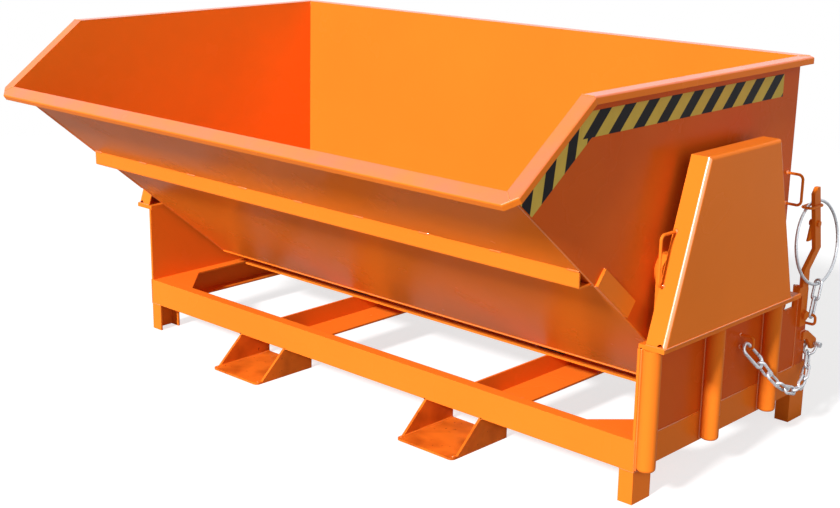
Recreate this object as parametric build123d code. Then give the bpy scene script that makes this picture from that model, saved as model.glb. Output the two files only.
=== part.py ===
from build123d import *
from math import asinh, cos, radians, sin, sinh, sqrt, tan
import os

# A tipping hopper on a fork base, in millimetres.
# X runs along the length, -Y is the pouring side, +Z is up, and the ground is at Z 0.
# Sizes are set in the base frame's own middle; the last step moves the origin under the middle of the whole.

# Base frame of channel rails
FRAME_LENGTH = 2000.0
FRAME_DEPTH = 866.0
FOOT_HEIGHT = 90.0
RAIL_HEIGHT = 84.0
RAIL_FLANGE = 36.0
END_RAIL_FLANGE = 47.0
RAIL_WALL = 6.0
FOOT_WIDTH = 44.0
FOOT_DEPTH = 79.0
GUSSET_LEG = 130.0

# Cross beams, fork shoes and the rest under the hopper
FORK_PITCH = 812.0
FORK_SHIFT = -20.0
SHOE_WIDTH = 212.0
SHOE_TOE_Y = -550.0
SHOE_REAR_Y = -318.0
SHOE_FLOOR = 6.0
SHOE_CHEEK = 8.0
SHOE_TOE_SETBACK = 10.0
SHOE_CORNER = 14.0
BEAM_OFFSET = 50.0
BEAM_HEIGHT = 62.0
BEAM_WIDTH = 112.0
BEAM_WALL = 6.0
REST_PLATE_SETBACK = 75.0
REST_PLATE_DEPTH = 150.0
REST_PLATE_FRONT_Y = -78.0
REST_PLATE_WALL = 6.0
REST_PAD_WIDTH = 90.0
REST_PAD_DEPTH = 100.0

# End plates, ledges, guards and bearing posts
END_PLATE_WALL = 8.0
END_PLATE_HEIGHT = 246.0
END_PLATE_SETBACK = 81.0
NOTCH_SETBACK = 20.0
NOTCH_WIDTH = 60.0
NOTCH_DEPTH = 62.0
LEDGE_WALL = 12.0
LEDGE_REACH = 67.0
LEDGE_SETBACK = 3.0
LEDGE_REAR_Y = 240.0
GUARD_DEPTH = 57.0
GUARD_HEIGHT = 456.0
GUARD_SHEET = 4.0
GUARD_BEND = 10.0
GUARD_BOTTOM_FRONT_Y = -426.0
GUARD_BOTTOM_REAR_Y = 190.0
GUARD_TOP_FRONT_Y = -274.0
GUARD_TOP_REAR_Y = 66.0
GUARD_NOTCH_RADIUS = 9.0
GUARD_NOTCH_INSET = 16.0
PIVOT_Y = -316.0
PIVOT_Z = 600.0
PIVOT_DIAMETER = 40.0
PIVOT_CLEARANCE = 0.05
BEARING_WALL = 16.0
BEARING_WIDTH = 110.0
BEARING_CROWN = 44.0
BEARING_CHAMFER = 26.0
BOSS_DIAMETER = 86.0
BOSS_GAP = 0.5
COLLAR_DIAMETER = 62.0
COLLAR_WIDTH = 12.0
COLLAR_FIT = 0.02
PIN_TAIL = 6.0
TUBE_DIAMETER = 48.3
TUBE_PITCH = 294.0
TUBE_SETBACK = 259.0
TUBE_BOTTOM_Z = 97.0
TUBE_DOME = 9.0
LOOP_ROD = 8.0
LOOP_BEND = 14.0
GUARD_LOOP_TOP_Z = 705.0
GUARD_LOOP_BOTTOM_Z = 574.0
GUARD_LOOP_REACH = 18.3333333

# Hopper sheets, seen from the end
HOPPER_CLEARANCE = 14.0
SHEET = 4.0
BOTTOM_Z = 225.0
BOTTOM_FRONT_Y = -136.0
BOTTOM_REAR_Y = 281.0
FRONT_WALL_ANGLE = 39.7
REAR_WALL_LEAN = 0.8
RIM_TOP_Z = 1075.0
RIM_SLOPE_ANGLE = 35.9
RIM_BEND_Y = -684.0
RIM_TOP_LEG = 40.0
RIM_OUTER_LEG = 19.0
RIM_WALL = 4.0
RIM_BEND = 5.0
RIM_CORNER = 30.0
STIFFENER_SETBACK = 9.0
STIFFENER_TOP_Z = 657.0
STIFFENER_HEIGHT = 44.0
STIFFENER_WALL = 5.0
STOP_LUG_START = 440.0
STOP_LUG_LENGTH = 168.0
STOP_LUG_WIDTH = 48.0
STOP_LUG_WALL = 8.0
LATCH_LOOP_TOP_Z = 755.0
LATCH_LOOP_BOTTOM_Z = 669.0
LATCH_LOOP_REACH = 48.0
LATCH_LOOP_INSET = 16.0
CATCH_PIN_SETBACK = 40.0
CATCH_PIN_Z = 376.0
CATCH_PIN_DIAMETER = 18.0
CATCH_PIN_LENGTH = 4.0
CATCH_PLATE_WALL = 6.0
CATCH_PLATE_LENGTH = 110.0
CATCH_PLATE_HEIGHT = 56.0
CATCH_PLATE_MARGIN = 22.0

# Lock: post, lever, pawl, pull ring and its two links
RUNNING_GAP = 0.3
POST_WALL = 6.0
POST_WIDTH = 58.0
POST_RETURN = 46.0
POST_HEIGHT = 226.0
LEVER_WALL = 12.0
LEVER_WIDTH = 32.0
LEVER_LOW_Z = 296.0
LEVER_JOG_LOW_Z = 462.0
LEVER_JOG_HIGH_Z = 518.0
LEVER_TOP_Z = 700.0
LEVER_JOG = 54.0
LEVER_LEAN = 34.0
LEVER_CHAMFER = 18.0
LEVER_NOSE_LOW_Z = 390.0
LEVER_NOSE_HEIGHT = 26.0
LEVER_NOSE_REACH = 28.0
LEVER_PIVOT_Z = 330.0
LEVER_BOLT_DIAMETER = 16.0
LEVER_BOLT_HEAD = 24.0
LEVER_BOLT_HEAD_HEIGHT = 10.0
PAWL_PIVOT_Z = 592.0
PAWL_BOLT_DIAMETER = 10.0
PAWL_BOLT_HEAD = 17.0
PAWL_BOLT_HEAD_HEIGHT = 6.0
PAWL_WALL = 6.0
PAWL_TAIL = 18.0
PAWL_DROP = 50.0
PAWL_TIP = 20.0
BOLT_CLEARANCE = 0.05
EYE_ROD = 8.0
EYE_Z = 645.0
EYE_MARGIN = 3.0
EYE_LENGTH = 74.5
EYE_BEND = 10.0
RING_DIAMETER = 250.0
RING_ROD = 9.0
RING_X_GAP = 2.5
RING_TILT = 7.0
RING_LINK_SLACK = 3.0
RING_LINK_LEAN = 16.0
POST_EYE_HEIGHT = 28.0
POST_EYE_REACH = 36.0

# Safety chain with its eye, carabiner and shackle
LINK_ROD = 8.0
LINK_PITCH = 52.0
LINK_WIDTH = 28.0
LINK_COUNT = 8
LINK_GAP = 1.0
CHAIN_TILT = 24.0
CHAIN_EYE_SETBACK = 387.0
CHAIN_EYE_Z = 310.0
CHAIN_EYE_REACH = 40.0
CHAIN_EYE_HEIGHT = 34.0
CARABINER_LENGTH = 96.0
CARABINER_WIDTH = 44.0
CARABINER_ROD = 10.0
CARABINER_X_GAP = 20.0
CARABINER_LEAN = 38.0
CARABINER_STUB = 9.0
GATE_ROD = 9.0
GATE_GAP = 0.4
GATE_FLAT = 0.1
SHACKLE_OVERHANG = 42.0
SHACKLE_Z = 222.0
SHACKLE_ROD = 8.0
SHACKLE_INSIDE = 26.0
SHACKLE_LENGTH = 34.0
SHACKLE_EYE = 17.0
SHACKLE_EAR = 9.5
SHACKLE_LEAN = 46.0
SHACKLE_LUG_WALL = 10.0
SHACKLE_LUG_HEIGHT = 24.0
SHACKLE_LUG_SEAT = 26.0
SHACKLE_LUG_RISE = 26.0
SHACKLE_LUG_MARGIN = 13.0

# Places that follow from those sizes
HALF_LENGTH = FRAME_LENGTH / 2
HALF_DEPTH = FRAME_DEPTH / 2
RAIL_TOP_Z = FOOT_HEIGHT + RAIL_HEIGHT
END_PLATE_INNER_X = HALF_LENGTH - END_PLATE_WALL
END_PLATE_TOP_Z = RAIL_TOP_Z + END_PLATE_HEIGHT
END_PLATE_REAR_Y = HALF_DEPTH - END_PLATE_SETBACK
NOTCH_REAR_Y = END_PLATE_REAR_Y - NOTCH_SETBACK
NOTCH_FRONT_Y = NOTCH_REAR_Y - NOTCH_WIDTH
CATCH_PIN_Y = NOTCH_REAR_Y - CATCH_PIN_SETBACK
LEDGE_FRONT_Y = LEDGE_SETBACK - HALF_DEPTH
LEDGE_OUTER_X = HALF_LENGTH + LEDGE_REACH
LEDGE_TOP_Z = END_PLATE_TOP_Z + LEDGE_WALL
GUARD_INNER_X = LEDGE_OUTER_X - GUARD_DEPTH
GUARD_TOP_Z = LEDGE_TOP_Z + GUARD_HEIGHT
BEARING_OUTER_X = END_PLATE_INNER_X + BEARING_WALL
HOPPER_OUTER_X = END_PLATE_INNER_X - HOPPER_CLEARANCE
HOPPER_INNER_X = HOPPER_OUTER_X - SHEET
RIM_OUTER_X = HOPPER_INNER_X + RIM_TOP_LEG
REST_PLATE_TOP_Z = RAIL_TOP_Z + REST_PLATE_WALL
FORK_CENTRES = (FORK_SHIFT - FORK_PITCH / 2, FORK_SHIFT + FORK_PITCH / 2)
TUBE_X = HALF_LENGTH + TUBE_DIAMETER / 2
TUBE_REAR_Y = HALF_DEPTH - TUBE_SETBACK
CHAIN_EYE_Y = HALF_DEPTH - CHAIN_EYE_SETBACK


def yz_plate(points, x_low, thickness):
    """A flat plate with its outline in Y and Z."""
    outline = Plane.YZ.offset(x_low) * Polygon(*points, align=None)
    return extrude(outline, thickness, dir=(1, 0, 0))


def xz_bar(points, y_low, length):
    """A straight bar along Y with its section in X and Z."""
    section = Pos(0, y_low, 0) * (Plane.XZ * Polygon(*points, align=None))
    return extrude(section, length, dir=(0, 1, 0))


def xy_plate(points, z_low, thickness):
    """A flat plate with its outline in X and Y."""
    return extrude(Pos(0, 0, z_low) * Polygon(*points, align=None), thickness, dir=(0, 0, 1))


def block(low, high):
    """A box between two corners."""
    size = [b - a for a, b in zip(low, high)]
    return Pos(*low) * Box(*size, align=(Align.MIN, Align.MIN, Align.MIN))


def x_cylinder(diameter, x_low, x_high, y, z):
    """A round bar along X."""
    bar = Cylinder(diameter / 2, x_high - x_low, align=(Align.CENTER, Align.CENTER, Align.MIN))
    return Pos(x_low, y, z) * Rotation(0, 90, 0) * bar


def rod(points, diameter, bend, closed=False):
    """A bent round rod through the given points."""
    path = FilletPolyline(*points, radius=bend, close=closed)
    section = Plane(origin=path @ 0, z_dir=path % 0) * Circle(diameter / 2)
    return sweep(section, path=path)


def x_mirror(shape):
    """The same piece at the other end of the hopper."""
    return mirror(shape, Plane.YZ)


def meet(point, direction, other, other_direction):
    """Where two lines of the end view cross."""
    cross = direction[0] * other_direction[1] - direction[1] * other_direction[0]
    across = (other[0] - point[0]) * other_direction[1] - (other[1] - point[1]) * other_direction[0]
    return along(point, direction, across / cross)


def along(point, direction, distance):
    """A point at a distance from another in the end view."""
    return (point[0] + direction[0] * distance, point[1] + direction[1] * distance)


# Rails, feet and gussets


def front_rail():
    """Channel with its web outward, mitred into the end rails."""
    front = -HALF_DEPTH
    tip = front + RAIL_FLANGE
    web = front + RAIL_WALL
    low = FOOT_HEIGHT
    top = RAIL_TOP_Z
    section = [(front, low), (tip, low), (tip, low + RAIL_WALL), (web, low + RAIL_WALL), (web, top - RAIL_WALL),
               (tip, top - RAIL_WALL), (tip, top), (front, top)]
    bar = yz_plate(section, -HALF_LENGTH, FRAME_LENGTH)
    inner = HALF_LENGTH - END_RAIL_FLANGE
    mitre = [(-HALF_LENGTH, front), (HALF_LENGTH, front), (inner, tip), (-inner, tip)]
    return bar & xy_plate(mitre, low, RAIL_HEIGHT)


def end_rail():
    """Channel across the right end, mitred into the long rails."""
    tip = HALF_LENGTH - END_RAIL_FLANGE
    web = HALF_LENGTH - RAIL_WALL
    low = FOOT_HEIGHT
    top = RAIL_TOP_Z
    section = [(HALF_LENGTH, low), (tip, low), (tip, low + RAIL_WALL), (web, low + RAIL_WALL),
               (web, top - RAIL_WALL), (tip, top - RAIL_WALL), (tip, top), (HALF_LENGTH, top)]
    bar = xz_bar(section, -HALF_DEPTH, FRAME_DEPTH)
    inner = HALF_DEPTH - RAIL_FLANGE
    mitre = [(HALF_LENGTH, -HALF_DEPTH), (HALF_LENGTH, HALF_DEPTH), (tip, inner), (tip, -inner)]
    return bar & xy_plate(mitre, low, RAIL_HEIGHT)


def four_corners(shape):
    """A front right corner piece and its three mirror images."""
    pair = [shape, mirror(shape, Plane.XZ)]
    return pair + [x_mirror(piece) for piece in pair]


def foot():
    """Channel stub under the front right corner, open towards the middle."""
    x0 = HALF_LENGTH - FOOT_WIDTH
    y0 = -HALF_DEPTH
    y1 = y0 + FOOT_DEPTH
    web = HALF_LENGTH - RAIL_WALL
    outline = [(x0, y0), (HALF_LENGTH, y0), (HALF_LENGTH, y1), (x0, y1), (x0, y1 - RAIL_WALL),
               (web, y1 - RAIL_WALL), (web, y0 + RAIL_WALL), (x0, y0 + RAIL_WALL)]
    return xy_plate(outline, 0, FOOT_HEIGHT)


def corner_gusset():
    """Triangular plate level with the rails' top flanges."""
    x = HALF_LENGTH - END_RAIL_FLANGE
    y = -HALF_DEPTH + RAIL_FLANGE
    outline = [(x, y), (x, y + GUSSET_LEG), (x - GUSSET_LEG, y)]
    return xy_plate(outline, RAIL_TOP_Z - RAIL_WALL, RAIL_WALL)


# Cross beams, fork shoes and the hopper's rest


def cross_beam(x):
    """Angle bar between the long rails, let in under their top flanges."""
    low = RAIL_TOP_Z - BEAM_HEIGHT
    section = [(x, low), (x + BEAM_WIDTH, low), (x + BEAM_WIDTH, low + BEAM_WALL), (x + BEAM_WALL, low + BEAM_WALL),
               (x + BEAM_WALL, RAIL_TOP_Z), (x, RAIL_TOP_Z)]
    inner = HALF_DEPTH - RAIL_WALL
    bar = xz_bar(section, -inner, 2 * inner)
    for y0, y1 in ((-inner, RAIL_FLANGE - HALF_DEPTH), (HALF_DEPTH - RAIL_FLANGE, inner)):
        bar -= block((x, y0, RAIL_TOP_Z - RAIL_WALL), (x + BEAM_WALL, y1, RAIL_TOP_Z))
    return bar


def fork_shoe(x):
    """Floor plate and two cheeks under the front rail, which take a fork tine."""
    x0 = x - SHOE_WIDTH / 2
    x1 = x + SHOE_WIDTH / 2
    floor = block((x0, SHOE_TOE_Y, 0), (x1, SHOE_REAR_Y, SHOE_FLOOR))
    toe_edges = floor.edges().filter_by(Axis.Z).sort_by(Axis.Y)[:2]
    floor = fillet(toe_edges, SHOE_CORNER)
    side = [(SHOE_TOE_Y + SHOE_TOE_SETBACK + SHOE_CORNER, SHOE_FLOOR), (SHOE_REAR_Y, SHOE_FLOOR),
            (SHOE_REAR_Y, FOOT_HEIGHT), (-HALF_DEPTH, FOOT_HEIGHT)]
    return [floor, yz_plate(side, x0, SHOE_CHEEK), yz_plate(side, x1 - SHOE_CHEEK, SHOE_CHEEK)]


def rest_plate():
    """Flat bar that lies across the two cross beams."""
    half = HALF_LENGTH - REST_PLATE_SETBACK
    rear = REST_PLATE_FRONT_Y + REST_PLATE_DEPTH
    return block((-half, REST_PLATE_FRONT_Y, RAIL_TOP_Z), (half, rear, REST_PLATE_TOP_Z))


def rest_pad(x):
    """Rubber pad between the rest plate and the hopper's bottom."""
    middle = REST_PLATE_FRONT_Y + REST_PLATE_DEPTH / 2
    low = (x - REST_PAD_WIDTH / 2, middle - REST_PAD_DEPTH / 2, REST_PLATE_TOP_Z)
    high = (x + REST_PAD_WIDTH / 2, middle + REST_PAD_DEPTH / 2, BOTTOM_Z)
    return block(low, high)


# Ends of the base


def end_plate(notched):
    """Upright plate on an end rail; the right one has a notch for the catch pin."""
    low = RAIL_TOP_Z
    top = END_PLATE_TOP_Z
    outline = [(-HALF_DEPTH, low), (END_PLATE_REAR_Y, low), (END_PLATE_REAR_Y, top)]
    if notched:
        floor = top - NOTCH_DEPTH
        outline += [(NOTCH_REAR_Y, top), (NOTCH_REAR_Y, floor), (NOTCH_FRONT_Y, floor), (NOTCH_FRONT_Y, top)]
    outline += [(-HALF_DEPTH, top)]
    return yz_plate(outline, END_PLATE_INNER_X, END_PLATE_WALL)


def ledge():
    """Flat bar on the end plate that carries the guard and the bearing post."""
    low = (END_PLATE_INNER_X, LEDGE_FRONT_Y, END_PLATE_TOP_Z)
    return block(low, (LEDGE_OUTER_X, LEDGE_REAR_Y, LEDGE_TOP_Z))


def guard_front_y(z):
    """Y of the guard's sloping front at a height."""
    share = (z - LEDGE_TOP_Z) / GUARD_HEIGHT
    return GUARD_BOTTOM_FRONT_Y + share * (GUARD_TOP_FRONT_Y - GUARD_BOTTOM_FRONT_Y)


def guard():
    """Folded cover over the pivot, open towards the hopper and at its foot."""
    outline = [(GUARD_BOTTOM_FRONT_Y, LEDGE_TOP_Z), (GUARD_BOTTOM_REAR_Y, LEDGE_TOP_Z),
               (GUARD_TOP_REAR_Y, GUARD_TOP_Z), (GUARD_TOP_FRONT_Y, GUARD_TOP_Z)]
    cover = yz_plate(outline, GUARD_INNER_X, GUARD_DEPTH)
    face_edges = cover.faces().sort_by(Axis.X)[-1].edges().sort_by(Axis.Z)[1:]
    cover = fillet(face_edges, GUARD_BEND)
    openings = [cover.faces().sort_by(Axis.X)[0], cover.faces().sort_by(Axis.Z)[0]]
    cover = offset(cover, -GUARD_SHEET, openings=openings)
    x = LEDGE_OUTER_X - GUARD_NOTCH_INSET
    drain = Pos(x, GUARD_BOTTOM_FRONT_Y, LEDGE_TOP_Z) * Rotation(90, 0, 0)
    return cover - drain * Cylinder(GUARD_NOTCH_RADIUS, 4 * GUARD_BEND)


def bearing_post():
    """Thick plate on the ledge with the bore that the pivot pin turns in."""
    half = BEARING_WIDTH / 2
    top = PIVOT_Z + BEARING_CROWN
    outline = [(PIVOT_Y - half, LEDGE_TOP_Z), (PIVOT_Y + half, LEDGE_TOP_Z), (PIVOT_Y + half, top - BEARING_CHAMFER),
               (PIVOT_Y + half - BEARING_CHAMFER, top), (PIVOT_Y - half + BEARING_CHAMFER, top),
               (PIVOT_Y - half, top - BEARING_CHAMFER)]
    plate = yz_plate(outline, END_PLATE_INNER_X, BEARING_WALL)
    bore = PIVOT_DIAMETER + 2 * PIVOT_CLEARANCE
    return plate - x_cylinder(bore, END_PLATE_INNER_X, BEARING_OUTER_X, PIVOT_Y, PIVOT_Z)


def post_tube(y):
    """Closed round post against the right end plate, under the ledge."""
    height = END_PLATE_TOP_Z - TUBE_BOTTOM_Z
    tube = Cylinder(TUBE_DIAMETER / 2, height, align=(Align.CENTER, Align.CENTER, Align.MIN))
    tube = fillet(tube.edges().sort_by(Axis.Z)[0], TUBE_DOME)
    return Pos(TUBE_X, y, TUBE_BOTTOM_Z) * tube


def guard_loop():
    """Rod loop on the front fold of the right guard."""
    x = GUARD_INNER_X + LOOP_ROD
    top = GUARD_LOOP_TOP_Z
    low = GUARD_LOOP_BOTTOM_Z
    front = guard_front_y(low) - GUARD_LOOP_REACH
    points = [(x, guard_front_y(top), top), (x, front, top), (x, front, low), (x, guard_front_y(low), low)]
    loop = rod(points, LOOP_ROD, LOOP_BEND)
    behind = [(guard_front_y(LEDGE_TOP_Z), LEDGE_TOP_Z), (guard_front_y(GUARD_TOP_Z), GUARD_TOP_Z),
              (PIVOT_Y + BEARING_WIDTH, GUARD_TOP_Z), (PIVOT_Y + BEARING_WIDTH, LEDGE_TOP_Z)]
    return loop - yz_plate(behind, x - LOOP_ROD, 2 * LOOP_ROD)


# Hopper, from its lines in the end view

FRONT_UP = (-cos(radians(FRONT_WALL_ANGLE)), sin(radians(FRONT_WALL_ANGLE)))
FRONT_IN = (FRONT_UP[1], -FRONT_UP[0])
REAR_UP = (sin(radians(REAR_WALL_LEAN)), cos(radians(REAR_WALL_LEAN)))
SLOPE_DOWN = (-cos(radians(RIM_SLOPE_ANGLE)), -sin(radians(RIM_SLOPE_ANGLE)))
SLOPE_NORMAL = (SLOPE_DOWN[1], -SLOPE_DOWN[0])
LEVEL = (1.0, 0.0)
FRONT_FOOT = (BOTTOM_FRONT_Y, BOTTOM_Z)
FRONT_INNER = along(FRONT_FOOT, FRONT_IN, SHEET)
REAR_FOOT = (BOTTOM_REAR_Y, BOTTOM_Z)
REAR_INNER = along(REAR_FOOT, (-REAR_UP[1], REAR_UP[0]), SHEET)
RIM_CORNER_TOP = (RIM_BEND_Y, RIM_TOP_Z)
SLOPE_UNDER = along(RIM_CORNER_TOP, SLOPE_NORMAL, -RIM_WALL)
LEVEL_UNDER = (0.0, RIM_TOP_Z - RIM_WALL)
BOTTOM_INNER = (0.0, BOTTOM_Z + SHEET)
LIP_INNER = meet(FRONT_INNER, FRONT_UP, RIM_CORNER_TOP, SLOPE_DOWN)
LIP_OUTER = along(LIP_INNER, SLOPE_DOWN, RIM_TOP_LEG)
REAR_RIM_INNER_Y = meet(REAR_INNER, REAR_UP, RIM_CORNER_TOP, LEVEL)[0]


def front_wall_y(z):
    """Y of the front wall's outer face at a height."""
    return meet(FRONT_FOOT, FRONT_UP, (0.0, z), LEVEL)[0]


def hopper_front():
    """Sloping front sheet between the end sheets."""
    outline = [FRONT_FOOT, meet(FRONT_FOOT, FRONT_UP, SLOPE_UNDER, SLOPE_DOWN),
               meet(FRONT_INNER, FRONT_UP, SLOPE_UNDER, SLOPE_DOWN), meet(FRONT_INNER, FRONT_UP, FRONT_FOOT, LEVEL)]
    return yz_plate(outline, -HOPPER_INNER_X, 2 * HOPPER_INNER_X)


def hopper_bottom():
    """Flat bottom sheet, cut to the slopes of the front and rear sheets."""
    outline = [meet(FRONT_INNER, FRONT_UP, FRONT_FOOT, LEVEL), meet(REAR_INNER, REAR_UP, FRONT_FOOT, LEVEL),
               meet(REAR_INNER, REAR_UP, BOTTOM_INNER, LEVEL), meet(FRONT_INNER, FRONT_UP, BOTTOM_INNER, LEVEL)]
    return yz_plate(outline, -HOPPER_INNER_X, 2 * HOPPER_INNER_X)


def hopper_rear():
    """Nearly upright rear sheet."""
    outline = [meet(REAR_INNER, REAR_UP, REAR_FOOT, LEVEL), REAR_FOOT, meet(REAR_FOOT, REAR_UP, LEVEL_UNDER, LEVEL),
               meet(REAR_INNER, REAR_UP, LEVEL_UNDER, LEVEL)]
    return yz_plate(outline, -HOPPER_INNER_X, 2 * HOPPER_INNER_X)


def hopper_end():
    """Right end sheet, which covers the ends of the other three."""
    outline = [FRONT_FOOT, REAR_FOOT, meet(REAR_FOOT, REAR_UP, LEVEL_UNDER, LEVEL),
               meet(SLOPE_UNDER, SLOPE_DOWN, LEVEL_UNDER, LEVEL),
               meet(FRONT_FOOT, FRONT_UP, SLOPE_UNDER, SLOPE_DOWN)]
    return yz_plate(outline, HOPPER_INNER_X, SHEET)


def rim_frame(closed_v, closed_side, open_v):
    """Three sides of the folded rim, flat, with the closed side across V and its top at Z 0."""
    side = closed_side
    u_out = RIM_OUTER_X
    u_in = HOPPER_INNER_X
    v_out = closed_v + side * RIM_TOP_LEG
    cut = RIM_CORNER
    outer = [(-u_out, open_v), (-u_out, v_out - side * cut), (-u_out + cut, v_out), (u_out - cut, v_out),
             (u_out, v_out - side * cut), (u_out, open_v)]
    plate = xy_plate(outer + [(u_in, open_v), (u_in, closed_v), (-u_in, closed_v), (-u_in, open_v)],
                     -RIM_WALL, RIM_WALL)
    wall = RIM_WALL
    bevel = cut + wall * (sqrt(2) - 1)
    u_skin = u_out - wall
    v_skin = v_out - side * wall
    skin = [(u_skin, open_v), (u_skin, v_skin - side * (bevel - wall)), (u_skin - bevel + wall, v_skin),
            (bevel - wall - u_skin, v_skin), (-u_skin, v_skin - side * (bevel - wall)), (-u_skin, open_v)]
    frame = plate + xy_plate(outer + skin, -RIM_OUTER_LEG, RIM_OUTER_LEG)
    top = frame.faces().sort_by(Axis.Z)[-1]
    bends = [edge for edge in top.edges() if abs(edge.center().X) > u_in + wall or
             side * (edge.center().Y - closed_v) > wall]
    bends = [edge for edge in bends if abs(edge.center().Y - open_v) > wall]
    return fillet(bends, RIM_BEND)


def rim_mitre(closed_v, closed_side):
    """Plane through the right corner of a rim frame, halfway between its two sides."""
    return Plane(origin=(HOPPER_INNER_X, closed_v, 0), z_dir=(1, -closed_side, 0))


def cut_rim(frame, closed_v, closed_side):
    """The closed side of a rim frame and its right hand side."""
    plane = rim_mitre(closed_v, closed_side)
    side = split(frame, plane, keep=Keep.TOP)
    rest = split(frame, plane, keep=Keep.BOTTOM)
    return split(rest, x_mirror_plane(plane), keep=Keep.BOTTOM), side


def x_mirror_plane(plane):
    """The same mitre at the left corner."""
    origin = plane.origin
    normal = plane.z_dir
    return Plane(origin=(-origin.X, origin.Y, origin.Z), z_dir=(-normal.X, normal.Y, normal.Z))


def rims():
    """Front, right hand and rear lengths of the folded rim."""
    slope_length = RIM_TOP_Z
    slope_plane = Plane(origin=(0, *LIP_INNER), x_dir=(1, 0, 0), z_dir=(0, *SLOPE_NORMAL))
    front, slope = cut_rim(rim_frame(0, -1, slope_length), 0, -1)
    level_plane = Plane(origin=(0, 0, RIM_TOP_Z))
    rear, level = cut_rim(rim_frame(REAR_RIM_INNER_Y, 1, RIM_BEND_Y - RIM_TOP_LEG), REAR_RIM_INNER_Y, 1)
    forward = (0, SLOPE_DOWN[0] - 1, SLOPE_DOWN[1])
    seam = Plane(origin=(0, *RIM_CORNER_TOP), z_dir=forward)
    slope = split(slope_plane * slope, seam, keep=Keep.TOP)
    level = split(level_plane * level, seam, keep=Keep.BOTTOM)
    return slope_plane * front, [slope, level], level_plane * rear


def stiffener():
    """Angle along the front wall with its edges welded to the sheet."""
    top = STIFFENER_TOP_Z
    low = top - STIFFENER_HEIGHT
    face = front_wall_y(top)
    wall = STIFFENER_WALL
    inside_top = meet(FRONT_FOOT, FRONT_UP, (face + wall, 0.0), (0.0, 1.0))
    outline = [(face, top), (face, low), (front_wall_y(low), low), (front_wall_y(low + wall), low + wall),
               (face + wall, low + wall), inside_top]
    half = HOPPER_OUTER_X - STIFFENER_SETBACK
    bar = yz_plate(outline, -half, 2 * half)
    fold = bar.edges().filter_by(Axis.X).sort_by_distance((0, face, low))[0]
    return fillet(fold, wall)


def stop_lug():
    """Flat bar on the right end sheet, along its front edge."""
    start = along(FRONT_FOOT, FRONT_UP, STOP_LUG_START)
    end = along(start, FRONT_UP, STOP_LUG_LENGTH)
    outline = [start, end, along(end, FRONT_IN, STOP_LUG_WIDTH), along(start, FRONT_IN, STOP_LUG_WIDTH)]
    return yz_plate(outline, HOPPER_OUTER_X, STOP_LUG_WALL)


def latch_loop():
    """Rod loop that stands out from the rear edge of the right end sheet."""
    y = meet(REAR_FOOT, REAR_UP, (0.0, LATCH_LOOP_BOTTOM_Z), LEVEL)[0] - LATCH_LOOP_INSET
    out = HOPPER_OUTER_X + LATCH_LOOP_REACH
    points = [(HOPPER_OUTER_X, y, LATCH_LOOP_TOP_Z), (out, y, LATCH_LOOP_TOP_Z), (out, y, LATCH_LOOP_BOTTOM_Z),
              (HOPPER_OUTER_X, y, LATCH_LOOP_BOTTOM_Z)]
    return rod(points, LOOP_ROD, LOOP_BEND)


def pivot_pin():
    """Boss on the right end sheet with the pin that runs in the bearing post."""
    boss = x_cylinder(BOSS_DIAMETER, HOPPER_OUTER_X, END_PLATE_INNER_X - BOSS_GAP, PIVOT_Y, PIVOT_Z)
    tail = BEARING_OUTER_X + BOSS_GAP + COLLAR_WIDTH + PIN_TAIL
    return boss + x_cylinder(PIVOT_DIAMETER, HOPPER_OUTER_X, tail, PIVOT_Y, PIVOT_Z)


def pivot_collar():
    """Ring on the pin's end that keeps it in the bearing."""
    start = BEARING_OUTER_X + BOSS_GAP
    end = start + COLLAR_WIDTH
    ring = x_cylinder(COLLAR_DIAMETER, start, end, PIVOT_Y, PIVOT_Z)
    return ring - x_cylinder(PIVOT_DIAMETER + 2 * COLLAR_FIT, start, end, PIVOT_Y, PIVOT_Z)


def catch_plate():
    """Plate on the right end sheet with the pin that the lock holds down."""
    rear = CATCH_PIN_Y + CATCH_PLATE_MARGIN
    front = rear - CATCH_PLATE_LENGTH
    half = CATCH_PLATE_HEIGHT / 2
    outline = [(front, CATCH_PIN_Z - half), (rear, CATCH_PIN_Z - half), (rear, CATCH_PIN_Z + half),
               (front, CATCH_PIN_Z + half)]
    plate = yz_plate(outline, HOPPER_OUTER_X, CATCH_PLATE_WALL)
    plate = fillet(plate.edges().filter_by(Axis.X).sort_by(Axis.Y)[-2:], CATCH_PLATE_MARGIN)
    face = HOPPER_OUTER_X + CATCH_PLATE_WALL
    return plate + x_cylinder(CATCH_PIN_DIAMETER, face, face + CATCH_PIN_LENGTH, CATCH_PIN_Y, CATCH_PIN_Z)


# Lock at the rear of the right end

POST_FRONT_Y = END_PLATE_REAR_Y
POST_REAR_Y = POST_FRONT_Y + POST_WIDTH
SHACKLE_Y = POST_REAR_Y + SHACKLE_OVERHANG
LEVER_X = HALF_LENGTH + RUNNING_GAP
LEVER_OUTER_X = LEVER_X + LEVER_WALL
LEVER_FRONT_Y = POST_FRONT_Y
LEVER_PIVOT_Y = LEVER_FRONT_Y + LEVER_WIDTH / 2
RING_X = LEVER_X - RING_X_GAP - RING_ROD / 2


def lever_front_y(z):
    """Y of the front edge of the lever's upper length at a height."""
    share = (z - LEVER_JOG_HIGH_Z) / (LEVER_TOP_Z - LEVER_JOG_HIGH_Z)
    return LEVER_FRONT_Y + LEVER_JOG - share * LEVER_LEAN


PAWL_PIVOT_Y = lever_front_y(PAWL_PIVOT_Z) + LEVER_WIDTH / 2
EYE_REAR_Y = lever_front_y(EYE_Z) + LEVER_WIDTH + EYE_MARGIN + EYE_ROD / 2
EYE_FRONT_Y = EYE_REAR_Y - EYE_LENGTH + EYE_ROD
RING_RADIUS = (RING_DIAMETER - RING_ROD) / 2
RING_TOP = Vector(RING_X, EYE_REAR_Y, EYE_Z + (EYE_ROD + RING_ROD) / 2 + RUNNING_GAP)
RING_DOWN = Vector(sin(radians(RING_TILT)), 0, -cos(radians(RING_TILT)))


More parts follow.
